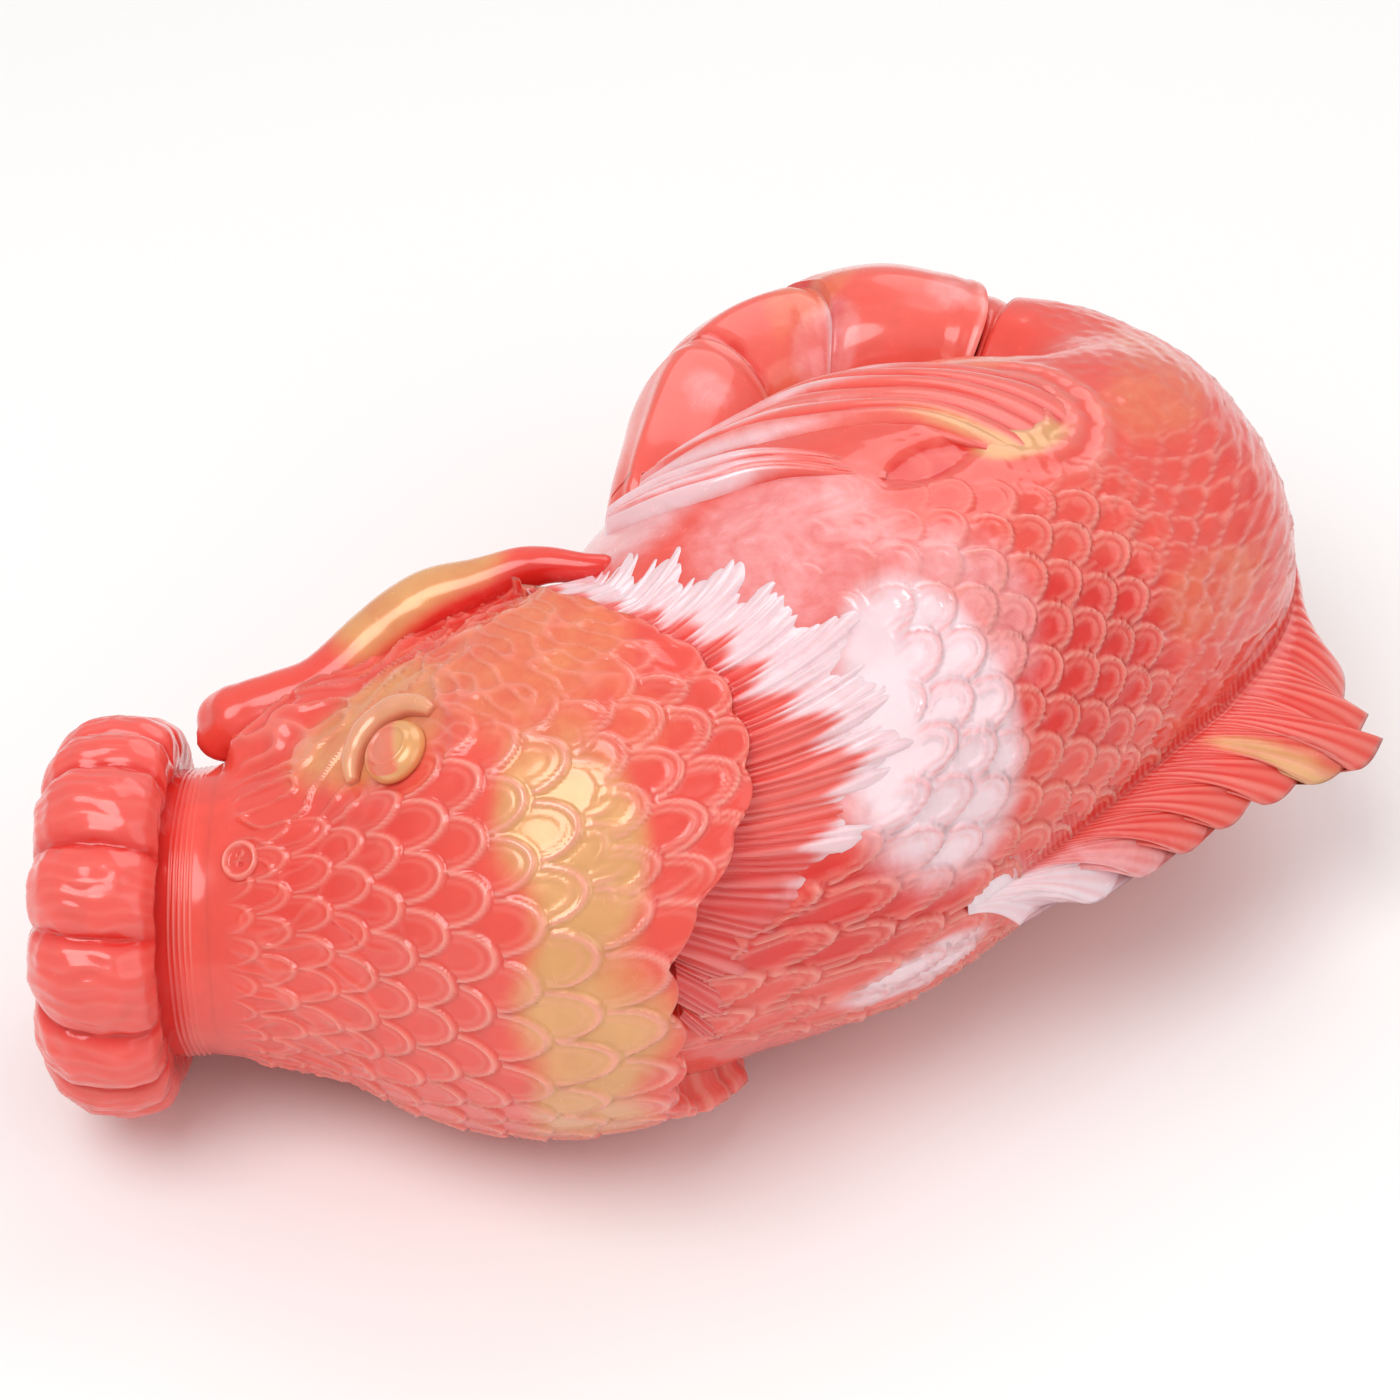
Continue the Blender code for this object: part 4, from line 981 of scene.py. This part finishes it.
fan_silicone = silicone("pearl_fan_silicone", rim=(0.93, 0.62, 0.62), rim_share=0.35)
for side, fan_edge, columns, tufts in (
    ("right", FAN_EDGE, 460, 14.0),
    ("left", PECTORAL_LEFT_EDGE, 160, 5.0),
):
    degrees = np.linspace(fan_edge[0][0], fan_edge[-1][0], columns)[None, :]
    share = np.linspace(0.0, 1.0, 46)[:, None]
    across = np.linspace(0.0, 1.0, columns)[None, :]
    root = gill_place(np.radians(degrees)) + 0.5
    reach = FAN_PLACE + through(fan_edge, 1, degrees)
    tuft = tufts * across + 0.12 * np.sin(9.0 * across)
    place = root + share * (reach - root)
    bunched = -0.30 * np.sin(2.0 * math.pi * tuft) * (degrees[0, 1] - degrees[0, 0])
    bunched = bunched * columns / tufts / 6.0
    spread = through(PECTORAL_SPREAD, 1, degrees) if side == "right" else 0.0
    leans = degrees + spread * share + bunched * share
    hairs = tuft * 6.0 + 0.35 * np.sin(4.0 * share + 8.0 * across) + 0.22 * np.sin(14.0 * tuft)
    hair = np.floor(hairs + 0.5)
    rays = (0.5 + 0.5 * np.cos(2.0 * math.pi * hairs)) * (0.45 + 0.55 * chance_at(hair, 0.0, 4))
    own = 0.70 + 0.30 * chance_at(hair, 0.0, 7)
    fade = np.clip(1.0 - (share / (own * (0.70 + 0.30 * saw(tuft, 1.0)))) ** 2.0, 0.0, 1.0)
    fade = fade * ease(np.minimum(across, 1.0 - across), 0.0, 0.06)
    high = PECTORAL_THICKNESS * (0.16 + 0.34 * rays + 0.36 * saw(tuft, 1.5)) * fade
    high = high + 1.3 * (1.0 - share) ** 3 * ease(np.minimum(across, 1.0 - across), 0.0, 0.1)
    top = skin(place, np.radians(leans), BODY_SECTIONS, -0.45 + 0.5 * fade + high)
    under = skin(place, np.radians(leans), BODY_SECTIONS, -FIN_ROOT)
    rings = pad(top, under)
    streaks = 0.5 + 0.5 * np.sin(2.0 * math.pi * (1.3 * tuft + 0.2) + 1.5 * share)
    start = -0.06 + 0.38 * ease(degrees, 22.0, 48.0) + 0.16 * streaks
    white = ease(share + 0.08 * rays, start, start + 0.26) * (1.0 - ease(degrees, 52.0, 62.0))
    pearl = white * (0.72 + 0.28 * rays)
    red = (0.8 * (1.0 - ease(share, 0.0, 0.18)) + 0.9 * ease(degrees, 44.0, 56.0)) * (1.0 - 0.55 * rays)
    pour_and_painted_light = both_faces(stacked(0.30 * ease(degrees, 62.0, 74.0) * rays, pearl, red))
    fan = shell("pectoral_fan_" + side, rings, pour_and_painted_light, both_faces(rays * (0.4 + 0.6 * share)))
    finish_piece(fan, fan_silicone, "pectoral_fin_" + side)

# ---- Pelvic and anal fins ------------------------------------------------------------------------
# Two bundles of long soft strands that sweep from the belly up over the flank and curl round at
# their ends. White and pink streaks of the pour run along them, and gold along the rear one.

# Their lower and upper edges: (place, degrees)
PELVIC_LOWER = [(88, -45), (91, -32), (96, -20), (102, -12), (108, -3), (114, 5)]
PELVIC_UPPER = [(94, -54), (98, -42), (102, -30), (107, -20), (112, -9), (115, 4)]
ANAL_LOWER = [(100, -54), (103, -43), (107, -30), (112, -18), (124, -3), (130, 10), (134, 21)]
ANAL_UPPER = [
    *[(108, -55), (116, -51), (126, -47), (139, -42)],
    *[(145, -24), (150, -7), (154, 10), (152, 25)],
]


def edge_line(edge, share):
    """Places and degrees along an edge, from its first point at 0 to its last at 1."""
    table = [(step, *point) for step, point in zip(np.linspace(0.0, 1.0, len(edge)), edge)]
    return through(table, 1, share), through(table, 2, share)


def strands(name, lower, upper, thickness, count, tint):
    """A pad between two edges on the body's skin. Its height across is a row of rounded strands,
    each wandering a little and fading at both ends; tint gives gold, pearl and deep red from (share
    along, share across)."""
    along = np.linspace(0.0, 1.0, 260)[:, None]
    across = np.linspace(0.0, 1.0, 90)[None, :]
    low_place, low_degrees = edge_line(lower, along)
    high_place, high_degrees = edge_line(upper, along)
    place = low_place * (1.0 - across) + high_place * across
    degrees = low_degrees * (1.0 - across) + high_degrees * across
    wander = across + 0.035 * np.sin(7.0 * along + 5.0 * across) + 0.02 * np.sin(15.0 * along)
    strand = saw(wander * count, 2.4)
    big = saw(wander * count * 0.34 + 0.2, 2.0)
    side = ease(np.minimum(across, 1.0 - across), 0.0, 0.16) ** 0.7
    ends = ease(along, 0.0, 0.06) * (1.0 - ease(along, 0.5, 1.0))
    high = thickness * (0.22 + 0.38 * strand + 0.40 * big) * side * ends
    angles = np.radians(degrees)
    top = skin(place, angles, BODY_SECTIONS, -0.2 + high)
    under = skin(place, angles, BODY_SECTIONS, -FIN_ROOT)
    pour_and_painted_light = both_faces(tint(along, across, strand))
    return shell(name, pad(top, under), pour_and_painted_light, both_faces(0.5 * strand))


def pelvic_tint(along, across, strand):
    """White at the root in three broad streaks, and red between the strands towards the ends."""
    streaks = saw(across * 3.0 + 0.15 * np.sin(6 * along), 1.2)
    white = (1.0 - ease(along, 0.45, 0.85)) * (0.45 + 0.55 * streaks)
    red = 0.85 * (1.0 - strand) * ease(along, 0.3, 0.8)
    return stacked(0.0, white * (0.5 + 0.5 * strand), red)


def anal_tint(along, across, strand):
    """White at the root in four streaks, a gold streak near the lower edge, and red between the
    strands."""
    white = 0.8 * (1.0 - ease(along, 0.35, 0.75)) * saw(across * 4.0 + 0.3 * np.sin(5 * along), 1.0)
    streak = np.exp(-(((across - 0.14 - 0.05 * np.sin(4.0 * along)) / 0.09) ** 2))
    red = 0.8 * (1.0 - strand) * ease(along, 0.2, 0.7)
    return stacked(0.9 * streak * ease(along, 0.5, 0.8), white * (0.5 + 0.5 * strand), red)


strand_silicone = silicone("pearl_strand_silicone", rim=(0.93, 0.40, 0.36), rim_share=0.4)
pelvic = strands("pelvic_strands", PELVIC_LOWER, PELVIC_UPPER, 2.4, 4.0, pelvic_tint)
finish_piece(pelvic, strand_silicone, "pelvic_fin")
anal = strands("anal_strands", ANAL_LOWER, ANAL_UPPER, 2.2, 6.0, anal_tint)
rear_silicone = silicone("gold_strand_silicone", rim=(0.93, 0.36, 0.30), rim_share=0.4)
finish_piece(anal, rear_silicone, "anal_fin")

# ---- Dorsal fin ----------------------------------------------------------------------------------
# A long soft fringe of ribbed rays along the back, laid out over the surface; the rays gather into
# about ten points.

# (place of the root, length of the ray, its direction in plan in degrees)
DORSAL_RAYS = [
    (92, 17, 34),
    (106, 22, 30),
    (122, 23, 24),
    (136, 25, 14),
    (146, 27, 6),
    (156, 18, -2),
    (163, 12, -15),
    (169, 8, -30),
]
DORSAL_ANGLE = math.radians(92.0)
DORSAL_DROOP = 6.0
DORSAL_THICKNESS = 3.0
DORSAL_POINTS, RIBS_PER_POINT = 10.0, 7.0
DORSAL_COLUMNS = 620
# The rays start this much higher on the flank, and leave it at this share of their length
ROOT_RISE, ROOT_SHARE = math.radians(13.0), 0.22
place = np.linspace(DORSAL_RAYS[0][0], DORSAL_RAYS[-1][0], DORSAL_COLUMNS)[None, :]
share = np.linspace(0.0, 1.0, 40)[:, None]
across = np.linspace(0.0, 1.0, DORSAL_COLUMNS)[None, :]
point = DORSAL_POINTS * across + 0.25 * np.sin(7.0 * across)
rise = ROOT_RISE * np.clip(1.0 - share / ROOT_SHARE, 0.0, 1.0)
root = skin(place, DORSAL_ANGLE - rise, BODY_SECTIONS, -FIN_ROOT + 2.0 * ease(share, 0.0, ROOT_SHARE))
heading = np.radians(through(DORSAL_RAYS, 2, place))
heading = heading + math.radians(7.0) * share * np.sin(2.0 * math.pi * point)
length = (through(DORSAL_RAYS, 1, place) + 0.5) * (0.78 + 0.22 * saw(point + 0.3, 1.2))
length = length * (0.55 + 0.45 * ease(across, 0.0, 0.07)) * (0.25 + 0.75 * ease(across, 1.0, 0.86))
ray = stacked(np.cos(heading), np.sin(heading), 0.0)
sway = 1.6 * np.sin(2.5 * share + 3.0 * across)
ribs = 0.5 + 0.5 * np.cos(2.0 * math.pi * RIBS_PER_POINT * point + sway)
ribs = ribs * (0.4 + 0.6 * chance_at(np.floor(RIBS_PER_POINT * point + 0.5), 0.0, 9))
deeper = 0.5 + 0.5 * np.cos(2.0 * math.pi * (2.0 * point + 0.3))
out = np.clip((share - ROOT_SHARE) / (1.0 - ROOT_SHARE), 0.0, 1.0)
centre = root + ray * (length * out)[..., None]
centre[..., 2] -= DORSAL_DROOP * out**2 + 0.35 * deeper * out * (1.0 - 0.3 * out)
profile = np.clip(1.0 - share**4, 0.0, 1.0) ** 0.7
ends = ease(np.minimum(across, 1.0 - across), 0.0, 0.03) ** 0.6
up = 0.5 * DORSAL_THICKNESS * (0.35 + 0.25 * (1.0 - out)) + 0.28 * ribs * ease(share, 0.20, 0.50)
up = up * profile * ends
down = 0.5 * DORSAL_THICKNESS * (0.6 - 0.3 * out) * profile * ends
top, under = centre.copy(), centre.copy()
top[..., 2] += up
under[..., 2] -= down
rings = pad(top, under)
white = 0.9 * (1.0 - ease(place, 95.0, 104.0))
white = white + 0.45 * ease(share, 0.0, 0.4) * (1.0 - ease(place, 100.0, 122.0))
streak = np.exp(-(((place - 141.0 + 3.0 * share) / 1.8) ** 2)) * ease(share, 0.15, 0.5)
red = 0.6 * (1.0 - ribs) * (1.0 - ease(share, 0.3, 1.0)) + 0.35 * (1.0 - ribs)
pour_and_painted_light = both_faces(stacked(0.85 * streak, white + 0.15 * ribs * ease(share, 0.6, 1.0), red))
relief = both_faces(ribs * (0.75 * ease(share, 0.1, 0.4)))
fringe = shell("dorsal_fringe", rings, pour_and_painted_light, relief)
fringe_silicone = silicone("coral_fringe_silicone", rim=(0.93, 0.33, 0.27), rim_share=0.6)
finish_piece(fringe, fringe_silicone, "dorsal_fin")

# ---- Tail ----------------------------------------------------------------------------------------
# The narrow stalk curls back beside the body and opens into three broad smooth petals that overlap,
# each starting with a slightly raised rim and creased by a few soft folds.
STALK_SECTIONS = [
    (196, 17.0, 13.5, 22.0, 42.5),
    (200, 16.8, 14.0, 21.7, 43.3),
    (204, 16.5, 14.5, 21.5, 44.0),
]
LOBE_1_SECTIONS = [
    (204, 18.0, 15.5, 23.5, 44.5),
    (216, 18.5, 18.0, 25.0, 44.0),
    (230, 14.5, 19.0, 25.5, 40.5),
]
LOBE_2_SECTIONS = [
    (230, 14.5, 20.0, 26.5, 39.0),
    (240, 12.5, 19.5, 27.0, 37.8),
    (252, 9.5, 19.0, 27.0, 36.5),
]
LOBE_3_SECTIONS = [
    (252, 11.0, 20.0, 28.5, 35.5),
    (264, 8.5, 20.0, 28.5, 34.5),
    (276, 7.0, 18.0, 27.0, 33.5),
    (288, 5.0, 14.0, 21.0, 33.0),
]
TAIL_END_ROUND = 8.0
# How much thinner each petal starts, so that its edge lies flush on the one before
PETAL_TUCK = 0.8
# How far each petal's edge bows out over the one before it, round the side at this many degrees
SEAM_BOW, SEAM_MIDDLE = 7.0, math.radians(-25.0)
petal_silicone = silicone("salmon_petal_silicone", coral=(0.85, 0.125, 0.095))
for name, node, sections, start, end, fold_depth, slot in (
    ("tail_stalk_casting", "tail_stalk", STALK_SECTIONS, 196.0, 204.4, 0.5, "coral_silicone"),
    ("tail_petal_1", "tail_lobe_1", LOBE_1_SECTIONS, 204.0, 230.6, 0.9, "salmon_silicone"),
    ("tail_petal_2", "tail_lobe_2", LOBE_2_SECTIONS, 230.0, 252.6, 1.0, "coral_silicone"),
    ("tail_petal_3", "tail_lobe_3", LOBE_3_SECTIONS, 252.0, 288.0, 1.1, "salmon_silicone"),
):
    angle = np.linspace(0.0, 2.0 * math.pi, 260, endpoint=False)[None, :]
    place = np.concatenate([[start], np.linspace(start + 0.02, end - 0.02, 108), [end]])[:, None]
    last = sections is LOBE_3_SECTIONS
    if last:
        eased = np.sin(np.linspace(0.0, 0.5 * math.pi, 26))[:-1]
        along = np.linspace(start + 0.02, end - TAIL_END_ROUND, 90)
        place = np.concatenate([[start], along, end - TAIL_END_ROUND * (1.0 - eased)])[:, None]
    bow = SEAM_BOW * np.clip(np.cos(angle - SEAM_MIDDLE), 0.0, 1.0) ** 2
    from_start, to_end = place - start, end - place
    place = place - bow * (to_end * (start > 196.0) + from_start * (not last)) / (end - start)
    base = skin(place, angle, sections)
    if last:
        x, y, _ = on_line(place)
        core = stacked(x, y, through(sections, 4, place))
        rounded = np.clip((place - end + TAIL_END_ROUND) / TAIL_END_ROUND, 0.0, 1.0)
        shrink = np.sqrt(np.clip(1.0 - rounded**2, 0.0, 1.0))
        base = core + (base - core) * shrink[..., None]
    creases = np.sin(8.0 * angle + 0.05 * from_start + 0.9 * np.sin(2.0 * angle))
    creases = creases * ease(from_start, 1.0, 9.0)
    rim_start = np.exp(-(((from_start - 0.8) / 0.9) ** 2))
    lift = fold_depth * (0.30 * creases - 0.25) + 0.30 * rim_start
    lift = lift - PETAL_TUCK * (1.0 - ease(from_start, 0.0, 4.5))
    lift = lift - (0.0 if last else 0.3) * ease(to_end, 3.0, 0.0)
    rings = base + outward(base) * lift[..., None]
    # Pearl and paler tint along each petal's starting rim are a painted highlight; deep red in the
    # crease troughs and at each petal's end, under the next petal, is painted shade
    pale = 0.30 * rim_start + 0.35 * ease(ripples(base * (1.0, 1.0, 0.35), 24.0, 61), 0.2, 1.0)
    gold = 0.35 * ease(ripples(base * (1.0, 1.0, 0.3), 30.0, 62), 0.3, 1.1)
    deep = 0.25 * ease(-creases, 0.4, 1.0) + 0.5 * ease(to_end, 3.0, 0.5)
    petal = shell(name, rings, stacked(gold, pale, deep), 0.4 * rim_start)
    finish_piece(petal, petal_silicone, node)
